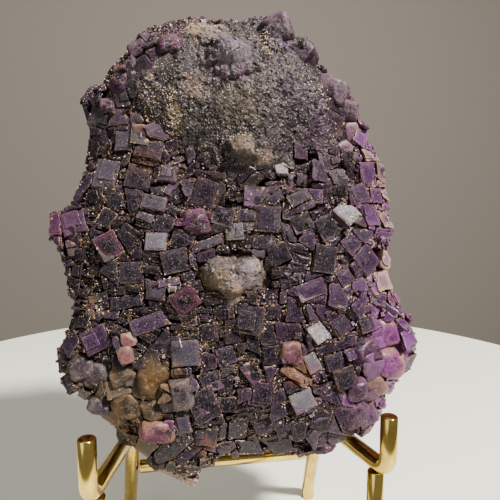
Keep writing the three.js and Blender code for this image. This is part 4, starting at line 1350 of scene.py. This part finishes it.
def lay_mosaic(crystals):
    mosaic = Mosaic()
    for _, (u, v), halves, spin, _, _ in GEMS:
        margin = 1.15 if halves[0] < 3.2 else 0.97
        mosaic.block(u, v, halves[0] * margin, halves[1] * margin, spin)
    tiles = leading_tiles(mosaic)
    for sizes, least, pitch in FILLING_ROUNDS:
        tiles += filling_tiles(mosaic, sizes, least, pitch)
    centres = np.array([outline.mean(axis=0) for outline, _, _ in tiles])
    heights = sampled(np.nan_to_num(front, nan=0.0), centres[:, 0], centres[:, 1])
    normals = smooth_normals(np.column_stack([centres, heights]), 6.0)
    for (outline, kind, extra), (u, v), w, normal in zip(tiles, centres, heights, normals):
        level = float(sampled(envelope, u, v))
        if kind == "leading":
            top = float(np.clip(extra.centre[2] + 0.25, level - 0.8, level + 0.8))
            look = look_of(u, v, w)
            raise_tile(crystals, outline, extra.normal, top, look, terrace=RANDOM.choice([0, 0, 0.14, 0.2]))
        elif kind == "tile":
            wild = 20 if RANDOM.random() < 0.3 else 8
            tilt = turned(crystal_axes(normal), 0, RANDOM.normal(1, wild), RANDOM.normal(0, wild))[2]
            top = level + RANDOM.uniform(-1.7, 0.1) - 0.3 / extra
            terrace = RANDOM.choice([0, 0, 0.14]) if extra > 1.7 else 0
            raise_tile(crystals, outline, tilt, top, look_of(u, v, w), terrace=terrace)
        else:
            lay_stack(crystals, outline, normal, level + RANDOM.uniform(-1.3, -0.2), u, v, w)


def lay_stack(crystals, outline, normal, level, u, v, w):
    """Cut an outline into thin plates that step up and down, seen on edge."""
    spin = math.radians(family_spin(u, v) + RANDOM.normal(0, 6))
    across = np.array([-math.sin(spin), math.cos(spin)])
    middle = outline.mean(axis=0)
    spots = (outline - middle) @ across
    low = spots.min()
    look = look_of(u, v, w, slab=True)
    lean = RANDOM.normal(10, 8)
    while low < spots.max() - 0.3:
        high = low + RANDOM.uniform(0.5, 1.3)
        if high > spots.max() - 0.35:
            high = spots.max() + 0.1
        plate = clipped([tuple(point) for point in outline], middle + across * (low + 0.05), across)
        if len(plate) >= 3:
            plate = clipped(plate, middle + across * (high - 0.05), -across)
        pieces = [plate] if len(plate) >= 3 else []
        if pieces and RANDOM.random() < 0.65:
            along = np.array([across[1], -across[0]]) + across * RANDOM.normal(0, 0.3)
            split = middle + along * RANDOM.uniform(-1.2, 1.2)
            pieces = [clipped(plate, split + way * 0.05, way) for way in (along, -along)]
        for piece in pieces:
            if len(piece) < 3 or outline_area(piece) < 0.25:
                continue
            tilt = turned(crystal_axes(normal), 0, lean + RANDOM.normal(0, 9), RANDOM.normal(0, 8))[2]
            plate_look = (*shaded_look(look, RANDOM.lognormal(0, 0.3))[:3], False)
            top = level + RANDOM.uniform(-0.6, 0.3)
            raise_tile(crystals, np.array(piece), tilt, top, plate_look, slab=True)
        low = high


# How many places are tried, the widths there and the power that favours narrow ones, how widely directions
# are smoothed, and how near two crystals may stand as a share of the sum of their widths
RIM_CROWD = {"count": 12000, "sizes": (2.4, 6.2), "power": 1.4, "smoothing": 4.0, "share": 0.31}
BACK_CROWD = {"count": 2600, "sizes": (4.0, 17.0), "power": 1.6, "smoothing": 6.0, "share": 0.3}


def fitting_places(fits, count, sizes, power, smoothing, share):
    """Places over the surface where a crystal fits, the widest first, each with its normal and its width."""
    points = surface_samples(count)
    widths = sizes[0] + (sizes[1] - sizes[0]) * RANDOM.random(count) ** power
    normals = smooth_normals(points, smoothing)
    crowd = Crowd(sizes[1], share)
    for i in np.argsort(-widths):
        if fits(points[i], normals[i], widths[i]) and crowd.takes(points[i], widths[i]):
            yield points[i], normals[i], widths[i]


def fits_rim(point, normal, _):
    u, v, w = point
    turning = -0.55 <= normal[2] <= 0.88 and w >= -11
    return turning and not near_rods(point) and sugar_share(u, v) <= 0.6 and not on_gem(u, v)


def within_outline(corners):
    """Whether no corner stands out past the solid's outline, seen from the front."""
    covered = sampled(face_cover, corners[:, 0], corners[:, 1]) > 0.3
    return bool(covered.all() and (above_top(corners[:, 1], corners[:, 2]) < -1.6).all())


def rim_crystals(crystals):
    """Crystals over the edge, where the face turns away to the back."""
    for point, normal, width in fitting_places(fits_rim, **RIM_CROWD):
        axes = turned(crystal_axes(normal), RANDOM.normal(0, 12), RANDOM.normal(0, 5), RANDOM.normal(0, 5))
        box = rectangle((0, 0), width / 2, width / 2 * RANDOM.uniform(0.7, 1.0), 0)
        outline = softened(box, RANDOM.uniform(0.3, 1.0))
        rise = width * RANDOM.uniform(-0.16, -0.04)
        for shrink in (1.0, 0.8, 0.62, 0.48, 0.36):
            place = point + axes[2] * (rise - 0.5 * (1 - shrink))
            if within_outline(place + outline * shrink @ axes[:2]):
                depth = width * shrink * 1.1
                crystals.add(outline * shrink, place, axes[:2], -axes[2], depth, look_of(*point), chamfer=0.2,
                             swell=0.2)
                break


# The directions in which fluorite cleaves, in degrees, and where the posts of the stand hold the back
CLEAVAGE_TURNS = (18.0, 72.0, 128.0)
REAR_POST_OUT = PRONG_HALF_SPACING - math.sin(ARM_TOE_IN) * ARM_RUN
BACK_TONES = [
    linear(*tone) for tone in ((58, 42, 62), (84, 66, 84), (104, 90, 98), (72, 60, 66), (112, 96, 88))
]


def near_posts(point):
    x, _, z = to_world(point) / MM
    return abs(abs(x - MID_X / MM) - REAR_POST_OUT) < 5.5 and z < BACK_REST_HEIGHT + 3


def fits_back(point, normal, width):
    high = above_top(point[1], point[2]) + width / 2 > -1
    return normal[2] <= -0.3 and not high and not near_posts(point) and not near_rods(point)


def cleavage_steps(crystals):
    """Broad, low plates on the broken back, split along the directions in which fluorite cleaves."""
    for point, normal, width in fitting_places(fits_back, **BACK_CROWD):
        axes = turned(crystal_axes(normal), RANDOM.choice(CLEAVAGE_TURNS) + RANDOM.normal(0, 4), 0, 0)
        axes = turned(axes, 0, RANDOM.normal(0, 2.5), RANDOM.normal(0, 2.5))
        box = rectangle((0, 0), width / 2, width / 2 * RANDOM.uniform(0.4, 0.9), 0, 0.14)
        outline = [tuple(corner) for corner in box]
        for _ in range(2):
            angle = RANDOM.uniform(0, 2 * math.pi)
            away = np.array([math.cos(angle), math.sin(angle)])
            outline = clipped(outline, -away * width * RANDOM.uniform(0.2, 0.42), away)
        outline = np.array(outline)
        middle = outline.mean(axis=0)
        tone = BACK_TONES[RANDOM.integers(len(BACK_TONES))]
        shade = RANDOM.lognormal(0, 0.2)
        core = shaded(tone, shade)
        look = core, shaded(core, 1.35), 0.1, False
        place = point + middle @ axes[:2] + axes[2] * RANDOM.uniform(0.1, 0.6)
        crystals.add(outline - middle, place, axes[:2], -axes[2], 2.2, look, chamfer=0.1, swell=0.02)


crystals = Crystals()
lay_mosaic(crystals)
rim_crystals(crystals)
cleavage_steps(crystals)
mass = grown("fluorite_mass", solid, crystals)
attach(mass, "root")
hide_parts("fluorite_cluster")


# Sugary covers
def grains(u, v, pitch, tilt, offset):
    """Heights of tilted facets, one about each of many seeds a pitch apart."""
    low, high = (u.min() - pitch, v.min() - pitch), (u.max() + pitch, v.max() + pitch)
    us, vs = np.meshgrid(np.arange(low[0], high[0], pitch), np.arange(low[1], high[1], pitch))
    seeds = np.column_stack([us.ravel(), vs.ravel()]) + RANDOM.uniform(-0.45, 0.45, (us.size, 2)) * pitch
    tree = KDTree(len(seeds))
    for i, (a, b) in enumerate(seeds):
        tree.insert((a, b, 0), i)
    tree.balance()
    tilts, offsets = RANDOM.normal(0, tilt, (len(seeds), 2)), RANDOM.uniform(-offset, offset, len(seeds))
    owner = np.array([tree.find((a, b, 0))[1] for a, b in zip(u, v)])
    gap = np.column_stack([u, v]) - seeds[owner]
    return (gap * tilts[owner]).sum(1) + offsets[owner]


def soft_lumps(count, centre, halves, sizes, rises):
    """Random gentle rises and hollows inside an ellipse: place, radius and height of each."""
    lumps = []
    for _ in range(count):
        angle, reach = RANDOM.uniform(0, 2 * math.pi), math.sqrt(RANDOM.random()) * 0.95
        u = centre[0] + halves[0] * reach * math.cos(angle)
        v = centre[1] + halves[1] * reach * math.sin(angle)
        lumps.append((u, v, RANDOM.uniform(*sizes), RANDOM.uniform(*rises)))
    return lumps


def closed_crust(name, u_axis, v_axis, share, height, under):
    """A mesh with a top and an underside over the lattice, where the share is above nothing."""
    width = len(u_axis)
    u, v = (axis.ravel() for axis in np.meshgrid(u_axis, v_axis))
    work = bmesh.new()
    tops, bottoms = {}, {}
    for i in np.nonzero(share > 0.01)[0]:
        tops[i] = work.verts.new(to_world([u[i], v[i], height[i]]))
        bottoms[tops[i]] = work.verts.new(to_world([u[i], v[i], under[i]]))
    for j in range(len(v_axis) - 1):
        for i in range(width - 1):
            a = j * width + i
            square = [a, a + 1, a + width + 1, a + width]
            if all(k in tops for k in square):
                corners = [tops[k] for k in square]
                if (i + j) % 2:
                    corners = corners[1:] + corners[:1]
                work.faces.new((corners[0], corners[1], corners[2]))
                work.faces.new((corners[0], corners[2], corners[3]))
    upper = list(work.faces)
    rim = [tuple(edge.verts) for edge in work.edges if edge.is_boundary]
    for face in upper:
        work.faces.new([bottoms[vert] for vert in reversed(face.verts)])
    for start, end in rim:
        work.faces.new((start, end, bottoms[end], bottoms[start]))
    bmesh.ops.delete(work, geom=[vert for vert in work.verts if not vert.link_faces], context="VERTS")
    bmesh.ops.recalc_face_normals(work, faces=work.faces)
    return mesh_from(work, name)


def sugary_sheet(name, centre, halves, pitch, blur, lift, layers, tone, blocks=(), lumps=()):
    """A closed crust that follows the solid, its top roughened by layers of small facets."""
    u_axis = np.arange(centre[0] - halves[0] * 1.25, centre[0] + halves[0] * 1.25, pitch)
    v_axis = np.arange(centre[1] - halves[1] * 1.25, centre[1] + halves[1] * 1.25, pitch)
    u, v = (axis.ravel() for axis in np.meshgrid(u_axis, v_axis))
    angle = np.arctan2(v - centre[1], u - centre[0])
    reach = reach_in((centre, halves), u, v)
    reach = reach + 0.1 * (np.sin(angle * 5 + 1) + np.sin(angle * 9 + 2) * 0.6 + np.sin(angle * 14) * 0.5)
    share = 1 - step(reach, 0.82, 1.06)
    over = widened(front, 0.75)
    base = sampled(blurred(front, blur), u, v) + lift
    base = np.maximum(base, sampled(blurred(over, 1.1), u, v) + lift * 0.6)
    ragged = 0.16 * (np.sin(u * 1.7 + v * 0.9) + np.sin(v * 2.3 - u * 0.7 + 1) + np.sin(u * 3.1 + 2) * 0.5)
    for middle_u, middle_v, half_u, half_v, rise in blocks:
        gap = reach_in(((middle_u, middle_v), (half_u, half_v)), u, v) + ragged * 0.5
        base = base + rise * (1 - step(gap, 0.72, 1.12))
    for middle_u, middle_v, radius, rise in lumps:
        base = base + rise * np.exp(-((u - middle_u) ** 2 + (v - middle_v) ** 2) / (radius * radius * 0.6))
    height = np.maximum(base, sampled(np.nan_to_num(over, nan=OUTSIDE), u, v) + 0.4) - 2.4 * (1 - share)
    for layer in layers:
        height = height + grains(u, v, *layer)
    under = np.minimum(height - 0.6, sampled(blurred(front, 1.2), u, v) - 1.0)
    mesh = closed_crust(name, u_axis, v_axis, share, height, under)
    mesh.materials.append(stone_materials[tone])
    return finished_piece(name, mesh)


# Rises and hollows of the dome: middle, half sizes and rise of each
DOME_BLOCKS = [
    (0.8, 104.2, 7.4, 5.0, 1.2), (-3.6, 111, 4.4, 3.6, 1.0), (2.6, 82.4, 4.0, 3.2, 1.7),
    (9, 79.4, 3.6, 2.8, 1.2), (-9.4, 86, 6.2, 7.2, -1.5), (-16.4, 89.5, 1.3, 4.6, -1.7),
    (13.2, 84, 3.2, 2.4, -1.0), (-15.5, 109, 3.4, 3.0, 0.8), (13, 111.4, 4.6, 3.6, 0.8),
    (-20, 94, 4, 6, 0.6), (19, 98, 6, 5, 0.5), (5, 97.6, 4, 3, 0.4),
]
DOME_MIDDLE, DOME_HALVES = (4.5, 97), (29, 22.5)
DOME_LAYERS = [(2.2, 0.12, 0.08), (1.0, 0.17, 0.05), (0.6, 0.23, 0.04)]
KNOB_LAYERS = [(2.4, 0.14, 0.14), (1.1, 0.15, 0.05), (0.6, 0.16, 0.03)]
KNOB_LUMPS = [
    (-5.5, 51, 3.2, 0.8), (-1.5, 47.6, 3.0, 0.6), (2.2, 51.4, 2.8, 0.7), (5.4, 48.6, 2.8, 0.8),
    (9, 51, 2.4, 0.5),
]
dome_lumps = soft_lumps(110, DOME_MIDDLE, DOME_HALVES, (1.2, 3.0), (-0.5, 0.6))
dome = sugary_sheet("sugary_dome", DOME_MIDDLE, DOME_HALVES, 0.36, 1.9, 0.9, DOME_LAYERS, SUGAR, DOME_BLOCKS,
                    dome_lumps)
sugary_sheet("grainy_knob", (0.3, 49.5), (12.0, 7.4), 0.34, 1.3, 1.0, KNOB_LAYERS, LUMP, lumps=KNOB_LUMPS)


# Loose grains in the crevices
CORNERS = np.array([[x, y, z] for x in (-1, 1) for y in (-1, 1) for z in (-1, 1)], float)
SIDES = [(0, 1, 3, 2), (4, 6, 7, 5), (0, 4, 5, 1), (2, 3, 7, 6), (0, 2, 6, 4), (1, 5, 7, 3)]


def strewn(name, tree, spots, takes, sizes, materials, tone_at=None):
    """Tiny tilted crystals at the spots that are taken, with tones of their own or with the face's look."""
    points, faces, tones, cores, rims = [], [], [], [], []
    for u, v in spots:
        hit, normal = met_from_front(tree, u, v)
        if hit is None or not takes(u, v, to_own(hit)[2]):
            continue
        size = sizes[0] + (sizes[1] - sizes[0]) * RANDOM.random() ** 1.6
        turn = Quaternion(unit(RANDOM.normal(size=3)), RANDOM.uniform(0, math.pi)).to_matrix()
        if tone_at is None:
            core, rim, clearness, _ = look_of(u, v, to_own(hit)[2])
            cores.extend([(*core[:3], clearness)] * len(SIDES))
            rims.extend([(*rim[:3], 1.0)] * len(SIDES))
        box = CORNERS * size / 2 * RANDOM.uniform(0.3, 1.0, 3) @ np.array(turn)
        start = len(points)
        points.extend((np.array(hit) + np.array(normal) * size * 0.08 * MM + box * MM).tolist())
        faces.extend(tuple(start + i for i in side) for side in SIDES)
        tones.extend([CRYSTAL if tone_at is None else tone_at()] * len(SIDES))
    mesh = bpy.data.meshes.new(name)
    mesh.from_pydata(points, [], faces)
    give_materials(mesh, materials)
    mesh.polygons.foreach_set("material_index", tones)
    if tone_at is None:
        set_looks(mesh, [0.5] * len(faces), [0.4] * len(mesh.loops), cores, rims)
    finished_piece(name, mesh)


def in_crevice(lows, share, stray):
    """A test that takes most spots in the low places of the face and few elsewhere."""
    def takes(u, v, w):
        low = float(sampled(envelope, u, v)) - w
        if not np.isfinite(low) or w < 0 or sugar_share(u, v) > 0.7 or on_gem(u, v):
            return False
        return RANDOM.random() < share * step(low, *lows) + stray and not near_rods([u, v, w])
    return takes


def scattered(count):
    return zip(RANDOM.uniform(-50, 57, count), RANDOM.uniform(-4, 131, count))


def heaped(heaps):
    """Spots gathered about lines, each from u, v to u, v with a spread and a count."""
    for u0, v0, u1, v1, spread, count in heaps:
        share, gap = RANDOM.random(count), RANDOM.normal(0, spread, (count, 2))
        yield from zip(u0 + (u1 - u0) * share + gap[:, 0], v0 + (v1 - v0) * share + gap[:, 1])


def grain_material(name, dark, pale):
    s = Shader(name)
    colour = s.mix(s.ramp(s.noise(0.7), 0.35, 0.65), dark, pale)
    s.set(Base_Color=colour, Roughness=0.25, IOR=FLUORITE_IOR)
    s.bump(s.noise(0.2), 0.02)
    return s.material


GRAIN_MATERIALS = [
    grain_material("cream_grain", SAND, CREAM), grain_material("dark_grain", NEAR_BLACK, SLATE),
    grain_material("purple_grain", DEEP_PURPLE, PURPLE), grain_material("ochre_grain", RUST, SAND),
    grain_material("grey_grain", PALE_SLATE, PALE_GREY),
]
GRAIN_SHARES = [0.28, 0.22, 0.18, 0.08, 0.24]
WARM_GRAINS, WARM_SHARES = [0, 3, 4], [0.6, 0.1, 0.3]
HEAPS = [
    (-15.2, 97, -14.4, 90, 0.7, 90), (-14.4, 90, -15.2, 80, 0.8, 130), (-13, 115.5, -1, 115, 1.0, 260),
    (-20, 100, -22, 88, 1.6, 150), (8, 113, 12, 107, 1.4, 130), (-1.4, 84.6, 5, 84.8, 0.5, 60),
    (-12, 100, -6, 96, 1.8, 90), (-19, 108, -17, 103, 1.5, 140), (22, 101, 30, 90, 2.0, 160),
]


def grain_tone():
    return int(RANDOM.choice(len(GRAIN_MATERIALS), p=GRAIN_SHARES))


def warm_tone():
    return int(RANDOM.choice(WARM_GRAINS, p=WARM_SHARES))


def on_front(u, v, w):
    return w > 0


mass_tree = tree_of(mass.data)
strewn("crevice_crystals", mass_tree, scattered(15000), in_crevice((0.8, 1.8), 0.5, 0.015), (0.5, 1.6),
       stone_materials)
strewn("crevice_grains", mass_tree, scattered(100000), in_crevice((0.5, 1.6), 0.5, 0.004), (0.16, 0.42),
       GRAIN_MATERIALS, grain_tone)
strewn("dome_grains", tree_of(dome.data), heaped(HEAPS), on_front, (0.18, 0.42), GRAIN_MATERIALS, warm_tone)


# Rounded crystals
def gem(name, place, halves, spin, skin, rise, power, chips):
    """A rounded crystal over the face, between a ball and a cube, with flat chips cut off it."""
    u, v = place
    across, up, out = halves
    work = bmesh.new()
    bmesh.ops.create_icosphere(work, subdivisions=4, radius=1.0)
    directions = unit(np.array([vert.co[:] for vert in work.verts]))
    block = directions / (np.abs(directions) ** power).sum(1, keepdims=True) ** (1 / power)
    turn = np.array(Quaternion(unit(RANDOM.normal(size=3)), RANDOM.uniform(0, math.pi)).to_matrix())
    tilt = turned(np.eye(3), spin, RANDOM.normal(0, 9), RANDOM.normal(0, 9))
    around = float(sampled(envelope, u, v))
    tilt = off_glare(tilt, np.array([u, v, around]), GEM_OFF_GLARE)
    phase = RANDOM.uniform(0, 2 * math.pi, 3)
    tilted = directions @ turn
    broad_wave, fine_wave = (np.sin(tilted * rate + phase).sum(1, keepdims=True) for rate in (4, 9))
    block *= 1 + 0.025 * (broad_wave * 0.6 + fine_wave * 0.3)
    for _ in range(chips):
        aim = unit(RANDOM.normal(size=3) + [0, 0, 0.5])
        reach = block @ aim
        block -= np.maximum(reach - reach.max() * RANDOM.uniform(0.78, 0.93), 0)[:, None] * aim
    shares = (-0.4, 0, 0.4)
    under = max(float(sampled(face_level, u + across * a, v + up * b)) for a in shares for b in shares)
    top = max(under, around - 0.8) + max(rise, 0.25)
    shape = np.array([u, v, top - out]) + (block * [across, up, out]) @ tilt
    for vert, spot in zip(work.verts, to_world(shape)):
        vert.co = spot
    for face in work.faces:
        face.smooth = True
    mesh = mesh_from(work, name)
    mesh.materials.append(SKINS[skin])
    finished_piece(name, mesh)


# How cubic the two kinds are, and how many chips each has
BULB_SHAPE, BLOCKY_SHAPE = (3.4, 5), (6.0, 8)
for row in GEMS:
    gem(*row, *(BULB_SHAPE if row[0].startswith("bulb") else BLOCKY_SHAPE))


# Rods
def brass():
    s = Shader("polished_brass")
    tarnish = s.noise(9, detail=4.0, roughness=0.65)
    colour = s.mix(s.ramp(tarnish, 0.4, 0.72), linear(224, 200, 126), linear(188, 154, 84))
    spots = s.ramp(s.noise(1.6, detail=5.0, roughness=0.7), 0.6, 0.74)
    colour = s.mix(s.product(spots, 0.6), colour, linear(96, 70, 40))
    s.set(Base_Color=colour, Metallic=1.0)
    s.set(Roughness=s.total(s.ramp(tarnish, 0.3, 0.8, 0.12, 0.24), s.product(spots, 0.2)))
    s.bump(s.noise(0.5, detail=3.0, stretch=(1, 1, 0.15)), 0.012, 0.6)
    return s.material


def cut_brass():
    s = Shader("cut_brass_end")
    colour = s.mix(s.ramp(s.noise(1.2, detail=3.0), 0.35, 0.65), linear(150, 104, 52), linear(66, 40, 22))
    s.set(Base_Color=colour, Metallic=0.85, Roughness=0.45)
    s.bump(s.noise(0.4), 0.03)
    return s.material


BRASS_MATERIALS = [brass(), cut_brass()]
ROD_BEVEL = 0.25


def corner(start, turn, end, radius, steps):
    """Points of a bend between two straight runs."""
    start, turn, end = (Vector(p) for p in (start, turn, end))
    into, out = (turn - start).normalized(), (end - turn).normalized()
    trim = radius * math.tan(into.angle(out) / 2)
    a, b = turn - into * trim, turn + out * trim
    shares = [i / steps for i in range(steps + 1)]
    return [((1 - t) ** 2) * a + 2 * t * (1 - t) * turn + t * t * b for t in shares]


def rod(node, path):
    """A round rod in the place of a node, along points in stand millimetres, its ends bevelled a little."""
    path = [Vector(p) for p in path]
    first, last = (path[1] - path[0]).normalized(), (path[-1] - path[-2]).normalized()
    path = [path[0], path[0] + first * ROD_BEVEL, *path[1:-1], path[-1] - last * ROD_BEVEL, path[-1]]
    work = bmesh.new()
    side = Vector((1, 0, 0)) if abs(first.x) < 0.9 else Vector((0, 1, 0))
    rings = []
    for i, point in enumerate(path):
        ahead = (path[min(i + 1, len(path) - 1)] - path[max(i - 1, 0)]).normalized()
        side = (side - ahead * side.dot(ahead)).normalized()
        other = ahead.cross(side)
        size = ROD / 2 - ROD_BEVEL if i in (0, len(path) - 1) else ROD / 2
        ring = []
        for k in range(ROD_SIDES):
            angle = 2 * math.pi * k / ROD_SIDES
            spot = point + side * math.cos(angle) * size + other * math.sin(angle) * size
            ring.append(work.verts.new(Vector((MID_X, FRONT_Y, 0)) + spot * MM))
        rings.append(ring)
    for lower, upper in zip(rings, rings[1:]):
        for k in range(ROD_SIDES):
            after = (k + 1) % ROD_SIDES
            work.faces.new((lower[k], lower[after], upper[after], upper[k])).smooth = True
    for ring in (rings[0][::-1], rings[-1]):
        work.faces.new(ring).material_index = 1
    mesh = mesh_from(work, f"{node}_rod")
    give_materials(mesh, BRASS_MATERIALS)
    finished_piece(f"{node}_rod", mesh, node)


def along_arm(side, distance, height):
    x = side * (PRONG_HALF_SPACING - math.sin(ARM_TOE_IN) * distance)
    return Vector((x, math.cos(ARM_TOE_IN) * distance, height))


def rear_line(side):
    """Joint, tip and foot of a rear post."""
    joint = along_arm(side, ARM_RUN, ARM_HEIGHT)
    climb = BACK_REST_HEIGHT - ARM_HEIGHT
    tip = Vector((joint.x, joint.y + math.tan(BACK_REST_SLOPE) * climb, BACK_REST_HEIGHT))
    foot = Vector((joint.x + side * REAR_FOOT_OUT, REAR_FOOT_BACK, ROD))
    return joint, tip, foot


bar_ends = []
for side_name, side in (("left", -1), ("right", 1)):
    top = along_arm(side, 0, ARM_HEIGHT + PRONG_RISE)
    elbow = along_arm(side, 0, ARM_HEIGHT)
    end = along_arm(side, ARM_RUN - ROD / 2 - SOLDER_GAP, ARM_HEIGHT)
    rod(f"{side_name}_prong_arm", [top, *corner(top, elbow, end, BEND_RADIUS, 12), end])
    leg_top = ARM_HEIGHT - ROD / 2 - SOLDER_GAP
    rod(f"{side_name}_front_leg", [along_arm(side, FRONT_LEG_SETBACK, height) for height in (0, leg_top)])
    joint, tip, foot = rear_line(side)
    ground = Vector((foot.x, foot.y, 0))
    lower_bend = corner(ground, foot, joint, FOOT_BEND_RADIUS, 6)
    upper_bend = corner(foot, joint, tip, BEND_RADIUS * 3, 12)
    rod(f"{side_name}_rear_post", [ground, *lower_bend, *upper_bend, tip])
    bar_end = foot.lerp(joint, (CROSSBAR_HEIGHT - foot.z) / (joint.z - foot.z))
    bar_end.x -= side * (ROD / 2 + SOLDER_GAP + 0.1)
    bar_ends.append(bar_end)
rod("rear_crossbar", bar_ends)


# Floor, backdrop and light
def plain(name, colour, roughness):
    s = Shader(name)
    s.set(Base_Color=colour, Roughness=roughness)
    return s.material


def stage_piece(name, mesh, place, material):
    """A piece of the surroundings, which is no part of the object."""
    mesh.materials.append(material)
    piece = bpy.data.objects.new(name, mesh)
    piece.location = place
    bpy.context.scene.collection.objects.link(piece)


FLOOR_RADIUS = 0.214
FLOOR_DEPTH = 0.02
FLOOR_PLACE = (MID_X + 0.0152, FRONT_Y + 0.1208, -FLOOR_DEPTH / 2)
work = bmesh.new()
bmesh.ops.create_cone(work, cap_ends=True, segments=128, radius1=FLOOR_RADIUS, radius2=FLOOR_RADIUS,
                      depth=FLOOR_DEPTH)
stage_piece("floor", mesh_from(work, "floor"), FLOOR_PLACE, plain("pale_floor", linear(238, 238, 228), 0.5))

backdrop_mesh = bpy.data.meshes.new("backdrop")
backdrop_mesh.from_pydata([(-3, 1.1, -2), (3, 1.1, -2), (3, 1.1, 3), (-3, 1.1, 3)], [], [(0, 1, 2, 3)])
stage_piece("backdrop", backdrop_mesh, (0, 0, 0), plain("grey_backdrop", linear(147, 141, 134), 0.9))


LIGHT_TARGET = (0, 0, 0.08)


def area_light(name, place, size, power, colour=(1, 1, 1)):
    """A round light that looks at the middle of the object."""
    data = bpy.data.lights.new(name, "AREA")
    data.shape = "DISK"
    data.size = size
    data.energy = power
    data.color = colour
    light = bpy.data.objects.new(name, data)
    light.location = place
    light.rotation_euler = (Vector(LIGHT_TARGET) - Vector(place)).to_track_quat("-Z", "Y").to_euler()
    bpy.context.scene.collection.objects.link(light)


area_light("key", KEY_LIGHT_PLACE, 0.14, 30, (1.0, 0.95, 0.88))
area_light("fill", (-0.8, -0.7, 0.5), 0.9, 2, (1.0, 0.98, 0.95))
area_light("top", (0.0, 0.2, 1.0), 0.8, 2)

world = bpy.data.worlds.new("studio")
bpy.context.scene.world = world
world.use_nodes = True
background = world.node_tree.nodes["Background"]
background.inputs["Color"].default_value = (0.82, 0.8, 0.76, 1)
background.inputs["Strength"].default_value = 0.3

bpy.context.scene.view_settings.view_transform = "AgX"
bpy.context.scene.view_settings.look = "AgX - Medium High Contrast"
